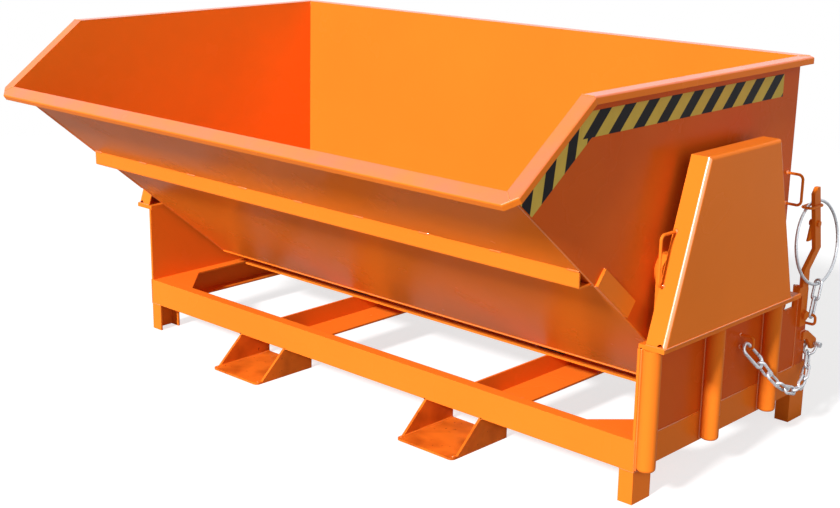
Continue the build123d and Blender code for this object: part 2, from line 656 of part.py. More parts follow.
def lock_post():
    """Angle upright behind the right end plate, which carries the lever."""
    inner = HALF_LENGTH - POST_RETURN
    outline = [(HALF_LENGTH - POST_WALL, POST_FRONT_Y), (HALF_LENGTH, POST_FRONT_Y), (HALF_LENGTH, POST_REAR_Y),
               (inner, POST_REAR_Y), (inner, POST_REAR_Y - POST_WALL),
               (HALF_LENGTH - POST_WALL, POST_REAR_Y - POST_WALL)]
    post = xy_plate(outline, RAIL_TOP_Z, POST_HEIGHT)
    hole = LEVER_BOLT_DIAMETER + 2 * BOLT_CLEARANCE
    return post - x_cylinder(hole, HALF_LENGTH - POST_WALL, HALF_LENGTH, LEVER_PIVOT_Y, LEVER_PIVOT_Z)


def lock_lever():
    """Flat bar with a jog, a chamfered top and a nose towards the catch pin."""
    front = [(LEVER_FRONT_Y, LEVER_LOW_Z), (LEVER_FRONT_Y, LEVER_NOSE_LOW_Z),
             (LEVER_FRONT_Y - LEVER_NOSE_REACH, LEVER_NOSE_LOW_Z),
             (LEVER_FRONT_Y - LEVER_NOSE_REACH / 2, LEVER_NOSE_LOW_Z + LEVER_NOSE_HEIGHT),
             (LEVER_FRONT_Y, LEVER_NOSE_LOW_Z + LEVER_NOSE_HEIGHT), (LEVER_FRONT_Y, LEVER_JOG_LOW_Z),
             (LEVER_FRONT_Y + LEVER_JOG, LEVER_JOG_HIGH_Z),
             (lever_front_y(LEVER_TOP_Z - LEVER_CHAMFER), LEVER_TOP_Z - LEVER_CHAMFER)]
    rear = [(lever_front_y(LEVER_TOP_Z) + LEVER_CHAMFER, LEVER_TOP_Z),
            (lever_front_y(LEVER_TOP_Z) + LEVER_WIDTH, LEVER_TOP_Z),
            (LEVER_FRONT_Y + LEVER_JOG + LEVER_WIDTH, LEVER_JOG_HIGH_Z),
            (LEVER_FRONT_Y + LEVER_WIDTH, LEVER_JOG_LOW_Z), (LEVER_FRONT_Y + LEVER_WIDTH, LEVER_LOW_Z)]
    bar = yz_plate(front + rear, LEVER_X, LEVER_WALL)
    for diameter, y, z in ((LEVER_BOLT_DIAMETER, LEVER_PIVOT_Y, LEVER_PIVOT_Z),
                           (PAWL_BOLT_DIAMETER, PAWL_PIVOT_Y, PAWL_PIVOT_Z)):
        bar -= x_cylinder(diameter + 2 * BOLT_CLEARANCE, LEVER_X, LEVER_OUTER_X, y, z)
    return bar


def hex_head(across_flats, x, height, y, z):
    """Bolt head whose flats face Y."""
    head = extrude(RegularPolygon(across_flats / 2, 6, major_radius=False), height)
    return Pos(x, y, z) * Rotation(0, 90, 0) * head


def lever_bolt():
    """Bolt through the post that the lever turns on."""
    start = HALF_LENGTH - POST_WALL
    head = LEVER_OUTER_X + RUNNING_GAP
    shank = x_cylinder(LEVER_BOLT_DIAMETER, start, head, LEVER_PIVOT_Y, LEVER_PIVOT_Z)
    shank += hex_head(LEVER_BOLT_HEAD, head, LEVER_BOLT_HEAD_HEIGHT, LEVER_PIVOT_Y, LEVER_PIVOT_Z)
    return shank + hex_head(LEVER_BOLT_HEAD, start - LEVER_BOLT_HEAD_HEIGHT, LEVER_BOLT_HEAD_HEIGHT,
                            LEVER_PIVOT_Y, LEVER_PIVOT_Z)


def lever_eye():
    """Closed rod eye round the lever, which holds the pull ring behind it."""
    outer = LEVER_OUTER_X + EYE_ROD / 2
    inner = RING_X - RING_ROD / 2 - EYE_ROD / 2 - RUNNING_GAP
    points = [(outer, EYE_FRONT_Y, EYE_Z), (inner, EYE_FRONT_Y, EYE_Z), (inner, EYE_REAR_Y, EYE_Z),
              (outer, EYE_REAR_Y, EYE_Z)]
    return rod(points, EYE_ROD, EYE_BEND, closed=True)


def pawl():
    """Flat finger behind the lever that leans forward and down from its bolt."""
    y = PAWL_PIVOT_Y
    z = PAWL_PIVOT_Z
    half = PAWL_TIP / 2
    outline = [(y - half, z + half), (y + PAWL_TAIL, z + half / 2), (y + PAWL_TAIL - half, z - half),
               (y - PAWL_TAIL + half, z - PAWL_DROP), (y - PAWL_TAIL - half, z - PAWL_DROP)]
    x = LEVER_X - PAWL_WALL - RUNNING_GAP
    plate = yz_plate(outline, x, PAWL_WALL)
    return plate - x_cylinder(PAWL_BOLT_DIAMETER + 2 * BOLT_CLEARANCE, x, x + PAWL_WALL, y, z)


def pawl_bolt():
    """Bolt that the pawl turns on, with a head on each side."""
    inner = LEVER_X - PAWL_WALL - 2 * RUNNING_GAP
    shank = x_cylinder(PAWL_BOLT_DIAMETER, inner, LEVER_OUTER_X, PAWL_PIVOT_Y, PAWL_PIVOT_Z)
    shank += hex_head(PAWL_BOLT_HEAD, LEVER_OUTER_X, PAWL_BOLT_HEAD_HEIGHT, PAWL_PIVOT_Y, PAWL_PIVOT_Z)
    return shank + hex_head(PAWL_BOLT_HEAD, inner - PAWL_BOLT_HEAD_HEIGHT, PAWL_BOLT_HEAD_HEIGHT,
                            PAWL_PIVOT_Y, PAWL_PIVOT_Z)


def pull_ring():
    """Round ring that hangs in the lever's eye."""
    ring = Torus(RING_RADIUS, RING_ROD / 2)
    plane = Plane(origin=RING_TOP + RING_DOWN * RING_RADIUS, x_dir=RING_DOWN, z_dir=RING_DOWN.cross(Vector(0, 1, 0)))
    return plane * ring


def chain_link():
    """Long link in the XY plane, along X."""
    radius = (LINK_WIDTH - LINK_ROD) / 2
    reach = (LINK_PITCH + LINK_ROD) / 2
    points = [(reach, -radius, 0), (reach, radius, 0), (-reach, radius, 0), (-reach, -radius, 0)]
    return rod(points, LINK_ROD, radius - RUNNING_GAP, closed=True)


def link_between(start, end, across):
    """A link from one joint to the next, flat in the plane of its run and a second direction."""
    run = (Vector(*end) - Vector(*start)).normalized()
    middle = (Vector(*start) + Vector(*end)) * 0.5
    normal = run.cross(Vector(*across)).normalized()
    return Plane(origin=middle, x_dir=run, z_dir=normal) * chain_link()


RING_LINK_RUN = Vector(0, -sin(radians(RING_LINK_LEAN)), -cos(radians(RING_LINK_LEAN)))
RING_FOOT = RING_TOP + RING_DOWN * (2 * RING_RADIUS)
LINK_STEP = LINK_PITCH - LINK_GAP
RING_LINK_STEP = LINK_PITCH - RUNNING_GAP
RING_LINK_SEAT = (LINK_ROD + RUNNING_GAP) / 2
RING_LINK_TOP = RING_FOOT - RING_LINK_RUN * (RING_ROD / 2 + RING_LINK_SLACK - RING_LINK_SEAT + LINK_ROD / 2)
POST_EYE = RING_LINK_TOP + RING_LINK_RUN * (2 * RING_LINK_STEP - RING_LINK_SEAT)


def ring_links():
    """Two links between the pull ring and the eye on the post."""
    middle = RING_LINK_TOP + RING_LINK_RUN * RING_LINK_STEP
    low = middle + RING_LINK_RUN * RING_LINK_STEP
    return [link_between(RING_LINK_TOP, middle, (1, 0, 0)), link_between(middle, low, (0, 1, 0))]


def post_eye():
    """Rod staple on the outer face of the lock post."""
    out = HALF_LENGTH + POST_EYE_REACH
    low = POST_EYE.Z - POST_EYE_HEIGHT
    points = [(HALF_LENGTH, POST_EYE.Y, POST_EYE.Z), (out, POST_EYE.Y, POST_EYE.Z), (out, POST_EYE.Y, low),
              (HALF_LENGTH, POST_EYE.Y, low)]
    return rod(points, EYE_ROD, EYE_BEND)


# Safety chain along the right end

CARABINER_X = HALF_LENGTH + CARABINER_X_GAP
HANG_DOWN = Vector(sin(radians(CHAIN_TILT)), 0, -cos(radians(CHAIN_TILT)))
REARWARD = Vector(0, 1, 0)
CARABINER_RUN = HANG_DOWN * cos(radians(CARABINER_LEAN)) + REARWARD * sin(radians(CARABINER_LEAN))
CARABINER_SIDE = REARWARD * cos(radians(CARABINER_LEAN)) - HANG_DOWN * sin(radians(CARABINER_LEAN))
CHAIN_EYE = Vector(CARABINER_X, CHAIN_EYE_Y, CHAIN_EYE_Z)
CARABINER_TOP = CHAIN_EYE - CARABINER_RUN * (EYE_ROD / 2 + LINK_GAP + CARABINER_ROD)
CARABINER_MIDDLE = CARABINER_TOP + CARABINER_RUN * (CARABINER_LENGTH / 2)
CHAIN_START = CARABINER_TOP + CARABINER_RUN * (CARABINER_LENGTH - CARABINER_ROD - LINK_GAP)
SHACKLE_LUG_X = HALF_LENGTH + SHACKLE_LUG_WALL / 2
SHACKLE_RUN = Vector(0, -sin(radians(SHACKLE_LEAN)), -cos(radians(SHACKLE_LEAN)))
SHACKLE_PIN = Vector(SHACKLE_LUG_X, SHACKLE_Y, SHACKLE_Z)
CHAIN_END = SHACKLE_PIN + SHACKLE_RUN * (SHACKLE_LENGTH - LINK_GAP)


def chain_joints():
    """Joints of the chain on a hanging curve that leans out over the rear post tube."""
    chord = CHAIN_END - CHAIN_START
    drop = chord.dot(HANG_DOWN)
    level = (chord - HANG_DOWN * drop).normalized()
    span = chord.dot(level)
    length = LINK_COUNT * LINK_STEP
    low, high = span / 20, span * 20
    for _ in range(80):
        curve = (low + high) / 2
        if 2 * curve * sinh(span / (2 * curve)) > sqrt(length ** 2 - drop ** 2):
            low = curve
        else:
            high = curve
    lowest = span / 2 + curve * asinh(drop / (2 * curve * sinh(span / (2 * curve))))
    joints = []
    for i in range(LINK_COUNT + 1):
        slope = i * LINK_STEP / curve - sinh(lowest / curve)
        across = lowest + curve * asinh(slope)
        sag = curve * (sqrt(1 + sinh(lowest / curve) ** 2) - sqrt(1 + slope ** 2))
        joints.append(CHAIN_START + level * across + HANG_DOWN * sag)
    return joints, level.cross(HANG_DOWN)


def chain_links():
    """The chain's links, each turned a quarter from the one before."""
    joints, aside = chain_joints()
    links = []
    for i in range(LINK_COUNT):
        run = joints[i + 1] - joints[i]
        across = aside if i % 2 == 0 else run.cross(aside)
        links.append(link_between(joints[i], joints[i + 1], across))
    return links


def chain_eye():
    """Rod staple on the right end plate that the carabiner hangs in."""
    out = HALF_LENGTH + CHAIN_EYE_REACH
    top = CHAIN_EYE_Z + CHAIN_EYE_HEIGHT
    points = [(HALF_LENGTH, CHAIN_EYE_Y, top), (out, CHAIN_EYE_Y, top), (out, CHAIN_EYE_Y, CHAIN_EYE_Z),
              (HALF_LENGTH, CHAIN_EYE_Y, CHAIN_EYE_Z)]
    return rod(points, EYE_ROD, EYE_BEND)


def carabiner_plane():
    """The carabiner's own plane: X along it, Y towards its gate."""
    return Plane(origin=CARABINER_MIDDLE, x_dir=CARABINER_RUN, z_dir=CARABINER_RUN.cross(CARABINER_SIDE))


def carabiner_body():
    """Bent rod with two stubs that the gate closes between."""
    radius = (CARABINER_WIDTH - CARABINER_ROD) / 2
    reach = (CARABINER_LENGTH - CARABINER_ROD) / 2
    stub = reach - radius - CARABINER_STUB
    points = [(-stub, radius, 0), (-reach, radius, 0), (-reach, -radius, 0), (reach, -radius, 0), (reach, radius, 0),
              (stub, radius, 0)]
    return carabiner_plane() * rod(points, CARABINER_ROD, radius - RUNNING_GAP)


def carabiner_gate():
    """Straight gate with round ends between the carabiner's stubs."""
    radius = (CARABINER_WIDTH - CARABINER_ROD) / 2
    stub = (CARABINER_LENGTH - CARABINER_ROD) / 2 - radius - CARABINER_STUB - GATE_GAP
    gate = Pos(0, radius, 0) * Rotation(0, 90, 0) * Cylinder(GATE_ROD / 2, 2 * stub)
    return carabiner_plane() * fillet(gate.edges().filter_by(GeomType.CIRCLE), GATE_ROD / 2 - GATE_FLAT)


def shackle_lug():
    """Flat arm on the outer face of the lock post with the hole for the shackle's pin."""
    low = SHACKLE_Z + SHACKLE_LUG_RISE
    top = low + SHACKLE_LUG_HEIGHT
    margin = SHACKLE_LUG_MARGIN
    front = POST_REAR_Y - SHACKLE_LUG_SEAT
    outline = [(front, low), (POST_REAR_Y, low), (SHACKLE_Y - margin, SHACKLE_Z - margin),
               (SHACKLE_Y + margin, SHACKLE_Z - margin), (SHACKLE_Y + margin, SHACKLE_Z + margin),
               (POST_REAR_Y, top), (front, top)]
    plate = yz_plate(outline, HALF_LENGTH, SHACKLE_LUG_WALL)
    plate = fillet(plate.edges().filter_by(Axis.X).sort_by(Axis.Y)[-2:], margin - 1)
    hole = SHACKLE_ROD + 2 * BOLT_CLEARANCE
    return plate - x_cylinder(hole, HALF_LENGTH, HALF_LENGTH + SHACKLE_LUG_WALL, SHACKLE_Y, SHACKLE_Z)


def shackle_bow():
    """Bent rod of the shackle with an eye at each end."""
    half = (SHACKLE_INSIDE + SHACKLE_ROD) / 2
    foot = 0
    reach = SHACKLE_LENGTH + SHACKLE_ROD / 2
    points = [(-half, foot, 0), (-half, reach, 0), (half, reach, 0), (half, foot, 0)]
    bow = rod(points, SHACKLE_ROD, half - RUNNING_GAP)
    ear = Rotation(0, 90, 0) * Cylinder(SHACKLE_EYE / 2, SHACKLE_EAR)
    bow += Pos(half, 0, 0) * ear + Pos(-half, 0, 0) * ear
    bow -= Rotation(0, 90, 0) * Cylinder(SHACKLE_ROD / 2 + BOLT_CLEARANCE, 2 * (half + SHACKLE_ROD))
    plane = Plane(origin=SHACKLE_PIN, x_dir=(1, 0, 0), z_dir=Vector(1, 0, 0).cross(SHACKLE_RUN))
    return plane * bow


def shackle_pin():
    """Bolt through the shackle's eyes and the lug."""
    half = (SHACKLE_INSIDE + SHACKLE_ROD + SHACKLE_EAR) / 2 + RUNNING_GAP
    x0 = SHACKLE_LUG_X - half
    x1 = SHACKLE_LUG_X + half
    pin = x_cylinder(SHACKLE_ROD, x0, x1, SHACKLE_Y, SHACKLE_Z)
    pin += hex_head(SHACKLE_EYE - RAIL_WALL / 2, x1, RAIL_WALL, SHACKLE_Y, SHACKLE_Z)
    return pin + hex_head(SHACKLE_EYE - RAIL_WALL / 2, x0 - RAIL_WALL, RAIL_WALL, SHACKLE_Y, SHACKLE_Z)


# Every piece by name, then the files

LIP_FRONT_Y = LIP_OUTER[0] + RIM_BEND * (SLOPE_NORMAL[1] - SLOPE_NORMAL[0] - 1)
ORIGIN_Y = (LIP_FRONT_Y + EYE_REAR_Y + RING_DIAMETER / 2) / 2


def pieces():
    """All pieces, each a solid or a list of solids."""
    rail = front_rail()
    side = end_rail()
    rim_front, rim_right, rim_rear = rims()
    rim_left = [x_mirror(length) for length in rim_right]
    left_fork, right_fork = FORK_CENTRES
    tubes = [post_tube(TUBE_REAR_Y - step * TUBE_PITCH) for step in range(3)]
    return {
        "front_rail": rail,
        "rear_rail": mirror(rail, Plane.XZ),
        "end_rail_right": side,
        "end_rail_left": x_mirror(side),
        "feet": four_corners(foot()),
        "corner_gussets": four_corners(corner_gusset()),
        "cross_beam_left": cross_beam(left_fork + BEAM_OFFSET),
        "cross_beam_right": cross_beam(right_fork + BEAM_OFFSET),
        "fork_shoe_left": fork_shoe(left_fork),
        "fork_shoe_right": fork_shoe(right_fork),
        "rest_plate": rest_plate(),
        "rest_pads": [rest_pad(x + BEAM_OFFSET) for x in FORK_CENTRES],
        "end_plate_right": end_plate(True),
        "end_plate_left": x_mirror(end_plate(False)),
        "ledge_right": ledge(),
        "ledge_left": x_mirror(ledge()),
        "guard_right": guard(),
        "guard_left": x_mirror(guard()),
        "bearing_post_right": bearing_post(),
        "bearing_post_left": x_mirror(bearing_post()),
        "post_tubes": tubes,
        "guard_loop": guard_loop(),
        "lock_post": lock_post(),
        "lever_bolt": lever_bolt(),
        "post_eye": post_eye(),
        "chain_eye": chain_eye(),
        "shackle_lug": shackle_lug(),
        "hopper_front": hopper_front(),
        "hopper_bottom": hopper_bottom(),
        "hopper_rear": hopper_rear(),
        "hopper_end_right": hopper_end(),
        "hopper_end_left": x_mirror(hopper_end()),
        "rim_front": rim_front,
        "rim_right": rim_right,
        "rim_left": rim_left,
        "rim_rear": rim_rear,
        "stiffener": stiffener(),
        "stop_lugs": [stop_lug(), x_mirror(stop_lug())],
        "latch_loop": latch_loop(),
        "pivot_pin_right": pivot_pin(),
        "pivot_pin_left": x_mirror(pivot_pin()),
        "pivot_collars": [pivot_collar(), x_mirror(pivot_collar())],
        "catch_plate": catch_plate(),
        "lock_lever": lock_lever(),
        "lever_eye": lever_eye(),
        "pawl": pawl(),
        "pawl_bolt": pawl_bolt(),
        "pull_ring": pull_ring(),
        "ring_links": ring_links(),
        "chain_links": chain_links(),
        "carabiner_body": carabiner_body(),
        "carabiner_gate": carabiner_gate(),
        "shackle_bow": shackle_bow(),
        "shackle_pin": shackle_pin(),
    }


os.makedirs("parts", exist_ok=True)
for name, shape in pieces().items():
    solids = shape if isinstance(shape, list) else [shape]
    placed = [Pos(0, -ORIGIN_Y, 0) * solid for solid in solids]
    export_step(placed[0] if len(placed) == 1 else Compound(children=placed), f"parts/{name}.step")
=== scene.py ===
from math import ceil, radians

import bpy
from mathutils import Matrix, Vector


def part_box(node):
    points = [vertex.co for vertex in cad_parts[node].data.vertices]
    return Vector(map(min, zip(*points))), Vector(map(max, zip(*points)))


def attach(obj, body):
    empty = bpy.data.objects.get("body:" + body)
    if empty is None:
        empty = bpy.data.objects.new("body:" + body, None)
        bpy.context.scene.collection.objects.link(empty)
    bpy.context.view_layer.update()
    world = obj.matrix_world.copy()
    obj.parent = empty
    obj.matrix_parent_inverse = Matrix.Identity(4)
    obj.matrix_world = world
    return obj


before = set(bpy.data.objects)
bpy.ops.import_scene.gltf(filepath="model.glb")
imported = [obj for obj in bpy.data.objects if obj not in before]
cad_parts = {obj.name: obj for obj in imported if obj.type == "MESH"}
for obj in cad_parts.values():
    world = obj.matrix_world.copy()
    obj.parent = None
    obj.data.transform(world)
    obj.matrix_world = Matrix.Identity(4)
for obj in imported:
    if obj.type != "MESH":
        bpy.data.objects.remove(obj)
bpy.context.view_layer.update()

bl_info = {
    "name": "Tipping hopper finish",
    "version": (1, 0, 0),
    "blender": (4, 5, 0),
    "location": "3D View > Sidebar > Hopper",
    "description": "Paint, weld beads, hazard tape and a studio stage for the tipping hopper",
    "category": "Object",
}

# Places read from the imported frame, in metres

MM = 0.001


def far_corner(node, direction):
    """The corner of a CAD node that lies farthest along a direction."""
    aim = Vector(direction)
    return max((v.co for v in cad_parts[node].data.vertices), key=aim.dot).copy()


def beside(x, place):
    """A place moved to another X."""
    return Vector((x, place.y, place.z))


HOPPER_END_LOW, HOPPER_END_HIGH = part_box("hopper_end_right")
WALL_X = HOPPER_END_HIGH.x
SHEET = HOPPER_END_HIGH.x - HOPPER_END_LOW.x
INSIDE_X = WALL_X - SHEET
FRONT_FOOT = far_corner("hopper_end_right", (0, -0.5, -1))
REAR_FOOT = far_corner("hopper_end_right", (0, 1, -1))
REAR_TOP = far_corner("hopper_end_right", (0, 1, 1))
RIM_BEND = far_corner("hopper_end_right", (0, -0.5, 1))
LIP = far_corner("hopper_end_right", (0, -1, 0.2))
RIM_TOP_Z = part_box("rim_rear")[1].z
SLOPE_UP = (RIM_BEND - LIP).normalized()
SLOPE_IN = Vector((0, SLOPE_UP.z, -SLOPE_UP.y))
FRONT_UP = (LIP - FRONT_FOOT).normalized()
FRONT_OUT = Vector((0, -FRONT_UP.z, FRONT_UP.y))


class HopperPaint(bpy.types.PropertyGroup):
    """Colours and surface of the coats."""

    orange: bpy.props.FloatVectorProperty(
        name="Orange", description="Colour of the paint", subtype="COLOR", size=3, min=0, max=1,
        default=(0.87, 0.2, 0.017))
    # Strength of the painted shade: a darker, redder tint on the outer faces of the end sheets, the end
    # plates and the lock post.
    painted_shade: bpy.props.FloatProperty(
        name="Dust", description="How much darker the outer faces of the end sheets are", default=0.42,
        min=0, max=1)
    rim_gloss: bpy.props.FloatProperty(
        name="Rim gloss", description="Clear coat on the rim", default=0.9, min=0, max=1)
    # Strength of the painted sky sheen: a pink tint on the upper faces of the rim that stands in for the
    # sky's reflection.
    rim_sky_sheen: bpy.props.FloatProperty(
        name="Rim fade", description="How far the sun has faded the rim", default=0.55, min=0, max=1)
    fold_gloss: bpy.props.FloatProperty(
        name="Fold gloss", description="Clear coat on the folds of the guards", default=1.0, min=0, max=1)
    # Strength of the scuffs on the fork shoes; their darkening also paints the shade under the front rail.
    scuffs_and_shade: bpy.props.FloatProperty(
        name="Scuffs", description="How far the fork shoes are rubbed", default=1.0, min=0, max=1)
    peel_size: bpy.props.FloatProperty(
        name="Peel size", description="Width of the fine waves in the paint", default=2.6 * MM, unit="LENGTH")
    sheet_wave: bpy.props.FloatProperty(
        name="Sheet wave", description="How far the welded sheets depart from flat", default=0.8 * MM,
        unit="LENGTH")
    edge_radius: bpy.props.FloatProperty(
        name="Edge radius", description="Rounding that the paint gives to sheet edges", default=1.6 * MM,
        unit="LENGTH")
    zinc: bpy.props.FloatVectorProperty(
        name="Zinc", description="Colour of the plated chain and ring", subtype="COLOR", size=3, min=0, max=1,
        default=(0.76, 0.8, 0.85))
    steel: bpy.props.FloatVectorProperty(
        name="Steel", description="Colour of the bare collars", subtype="COLOR", size=3, min=0, max=1,
        default=(0.19, 0.185, 0.18))
    rubber: bpy.props.FloatVectorProperty(
        name="Rubber", description="Colour of the rest pads", subtype="COLOR", size=3, min=0, max=1,
        default=(0.028, 0.028, 0.03))


class HopperTape(bpy.types.PropertyGroup):
    """Size and colours of the hazard tape."""

    width: bpy.props.FloatProperty(
        name="Width", description="Width of the tape", default=61 * MM, unit="LENGTH")
    stripe_pitch: bpy.props.FloatProperty(
        name="Stripe pitch", description="Length of one yellow and one black stripe", default=97.5 * MM,
        unit="LENGTH")
    black_share: bpy.props.FloatProperty(
        name="Black share", description="Share of the pitch that is black", default=0.475, min=0, max=1)
    thickness: bpy.props.FloatProperty(
        name="Thickness", description="Thickness of the film", default=0.4 * MM, unit="LENGTH")
    yellow: bpy.props.FloatVectorProperty(
        name="Yellow", description="Colour of the light stripes", subtype="COLOR", size=3, min=0, max=1,
        default=(0.68, 0.485, 0.085))
    black: bpy.props.FloatVectorProperty(
        name="Black", description="Colour of the dark stripes", subtype="COLOR", size=3, min=0, max=1,
        default=(0.012, 0.012, 0.014))


class HopperWelds(bpy.types.PropertyGroup):
    """Sizes of the weld beads."""

    bead: bpy.props.FloatProperty(
        name="Bead", description="Radius of a full bead", default=4.0 * MM, unit="LENGTH")
    ripple: bpy.props.FloatProperty(
        name="Ripple", description="Length of one ripple", default=5.0 * MM, unit="LENGTH")
    stitch: bpy.props.FloatProperty(
        name="Stitch", description="Length of one stitch", default=35 * MM, unit="LENGTH")
    stitch_pitch: bpy.props.FloatProperty(
        name="Stitch pitch", description="From one stitch to the next", default=210 * MM, unit="LENGTH")
    tack: bpy.props.FloatProperty(
        name="Tack", description="Length of one tack inside the hopper", default=14 * MM, unit="LENGTH")
    collar: bpy.props.FloatProperty(
        name="Collar", description="Leg of the weld round the foot of a rod", default=3.5 * MM, unit="LENGTH")


class HopperStage(bpy.types.PropertyGroup):
    """Light, floor and camera."""

    key_strength: bpy.props.FloatProperty(
        name="Key", description="Strength of the soft key light", default=4.9)
    key_elevation: bpy.props.FloatProperty(
        name="Key height", description="Angle of the key light above the floor", default=radians(31),
        subtype="ANGLE")
    key_heading: bpy.props.FloatProperty(
        name="Key heading", description="Turn of the key light round the hopper", default=radians(5),
        subtype="ANGLE")
    key_softness: bpy.props.FloatProperty(
        name="Key softness", description="Width of the key light as an angle", default=radians(7),
        subtype="ANGLE")
    fill_strength: bpy.props.FloatProperty(
        name="Fill", description="Strength of the broad fill light from the right", default=0.62)
    fill_elevation: bpy.props.FloatProperty(
        name="Fill height", description="Angle of the fill light above the floor", default=radians(18),
        subtype="ANGLE")
    fill_heading: bpy.props.FloatProperty(
        name="Fill heading", description="Turn of the fill light round the hopper", default=radians(78),
        subtype="ANGLE")
    fill_softness: bpy.props.FloatProperty(
        name="Fill softness", description="Width of the fill light as an angle", default=radians(70),
        subtype="ANGLE")
    ambient: bpy.props.FloatProperty(
        name="Ambient", description="Strength of the light from all round", default=0.23)
    floor: bpy.props.FloatVectorProperty(
        name="Floor", description="Colour of the floor", subtype="COLOR", size=3, min=0, max=1,
        default=(0.36, 0.36, 0.36))
    floor_glow: bpy.props.FloatProperty(
        name="Floor glow", description="Even light of the floor as the camera sees it", default=0.72)
    camera_place: bpy.props.FloatVectorProperty(
        name="Camera", description="Place of the camera", subtype="TRANSLATION", unit="LENGTH",
        default=(2.8776, -3.0393, 1.5811))
    camera_turn: bpy.props.FloatVectorProperty(
        name="Turn", description="Tilt, roll and heading of the camera", subtype="EULER", unit="ROTATION",
        default=(radians(90 - 15.4625), radians(0.728), radians(43.1998)))
    camera_lens: bpy.props.FloatProperty(
        name="Lens", description="Focal length in millimetres on a 36 mm sensor", default=61.41)
    camera_shift: bpy.props.FloatVectorProperty(
        name="Shift", description="Shift of the frame as a share of its width", size=2,
        default=(0.00654, -0.00115))


# Node helpers


def set_inputs(tree, node, inputs):
    """Feeds a node's inputs, each from a socket or with a plain value."""
    for key, value in inputs.items():
        if isinstance(value, bpy.types.NodeSocket):
            tree.links.new(value, node.inputs[key])
        else:
            node.inputs[key].default_value = value


def add_node(tree, kind, inputs=None, **settings):
    """A new node with its settings and its inputs."""
    node = tree.nodes.new(kind)
    for key, value in settings.items():
        setattr(node, key, value)
    set_inputs(tree, node, inputs or {})
    return node


def math_node(tree, operation, first, second=0.0):
    """The result of a Math node."""
    return add_node(tree, "ShaderNodeMath", {0: first, 1: second}, operation=operation).outputs[0]


def map_range(tree, value, low, high, to_low=0.0, to_high=1.0):
    """A value moved from one range to another, held at the ends."""
    node = add_node(tree, "ShaderNodeMapRange", {
        "Value": value, "From Min": low, "From Max": high, "To Min": to_low, "To Max": to_high})
    return node.outputs["Result"]


# The colour sockets of a Mix node share their names with others, so they go by number
MIX_SHARE = 0
MIX_FIRST = 6
MIX_SECOND = 7
MIX_RESULT = 2


def mix_colour(tree, share, first, second, blend="MIX"):
    """A colour mixed from two, each a socket or a plain colour."""
    ends = [c if isinstance(c, bpy.types.NodeSocket) else (*c, 1) for c in (first, second)]
    node = add_node(tree, "ShaderNodeMix", data_type="RGBA", blend_type=blend)
    set_inputs(tree, node, {MIX_SHARE: share, MIX_FIRST: ends[0], MIX_SECOND: ends[1]})
    return node.outputs[MIX_RESULT]


def object_place(tree):
    """The piece's own coordinates."""
    return add_node(tree, "ShaderNodeTexCoord").outputs["Object"]


def object_normal(tree):
    """The parts of the surface normal in the piece's own directions."""
    place = add_node(tree, "ShaderNodeTexCoord")
    return add_node(tree, "ShaderNodeSeparateXYZ", {0: place.outputs["Normal"]}).outputs


def object_noise(tree, scale, detail=2.0, roughness=0.5):
    """Noise on the piece's own coordinates."""
    noise = add_node(tree, "ShaderNodeTexNoise", {
        "Vector": object_place(tree), "Scale": scale, "Detail": detail, "Roughness": roughness})
    return noise.outputs["Fac"]


NOISE_LOW = 0.3
NOISE_HIGH = 0.7


def varied(tree, scale, detail, low, high):
    """A value that drifts over the piece between two ends."""
    return map_range(tree, object_noise(tree, scale, detail), NOISE_LOW, NOISE_HIGH, low, high)


SHARED_GROUPS = {}


def new_group(name, inputs, outputs):
    """An empty shader group with named sockets."""
    group = bpy.data.node_groups.new(name, "ShaderNodeTree")
    for label, kind, default in inputs:
        socket = group.interface.new_socket(label, in_out="INPUT", socket_type=kind)
        socket.default_value = default
    for label, kind in outputs:
        group.interface.new_socket(label, in_out="OUTPUT", socket_type=kind)
    return group, group.nodes.new("NodeGroupInput").outputs, group.nodes.new("NodeGroupOutput")


def use_group(tree, maker, values):
    """The outputs of a shared group, made at its first use and placed with its own values."""
    if maker not in SHARED_GROUPS:
        SHARED_GROUPS[maker] = maker()
    return add_node(tree, "ShaderNodeGroup", values, node_tree=SHARED_GROUPS[maker]).outputs


# Shared surface effects


def cloud_group():
    """Slow drift of a coat's colour, lighter and darker."""
    group, given, out = new_group(
        "Colour drift", [("Color", "NodeSocketColor", (1, 1, 1, 1)), ("Size", "NodeSocketFloat", 0.5),
                         ("Amount", "NodeSocketFloat", 0.1)], [("Color", "NodeSocketColor")])
    scale = math_node(group, "DIVIDE", 1.0, given["Size"])
    noise = object_noise(group, scale, detail=4.0, roughness=0.6)
    swing = math_node(group, "MULTIPLY", math_node(group, "SUBTRACT", noise, 0.5), given["Amount"])
    tint = add_node(group, "ShaderNodeHueSaturation", {
        "Value": math_node(group, "ADD", swing, 1.0), "Color": given["Color"]})
    set_inputs(group, out, {"Color": tint.outputs["Color"]})
    return group


EDGE_SAMPLES = 6
EDGE_START = 0.99
EDGE_FULL = 0.75


def edge_group():
    """Rounded edge normal, and a mask that is one on the edges."""
    group, given, out = new_group(
        "Rounded edge", [("Radius", "NodeSocketFloat", 0.002)],
        [("Normal", "NodeSocketVector"), ("Edge", "NodeSocketFloat")])
    bevel = add_node(group, "ShaderNodeBevel", {"Radius": given["Radius"]}, samples=EDGE_SAMPLES)
    rounded = bevel.outputs["Normal"]
    flat = add_node(group, "ShaderNodeNewGeometry").outputs["Normal"]
    dot = add_node(group, "ShaderNodeVectorMath", {0: rounded, 1: flat}, operation="DOT_PRODUCT")
    edge = map_range(group, dot.outputs["Value"], EDGE_START, EDGE_FULL)
    set_inputs(group, out, {"Normal": rounded, "Edge": edge})
    return group


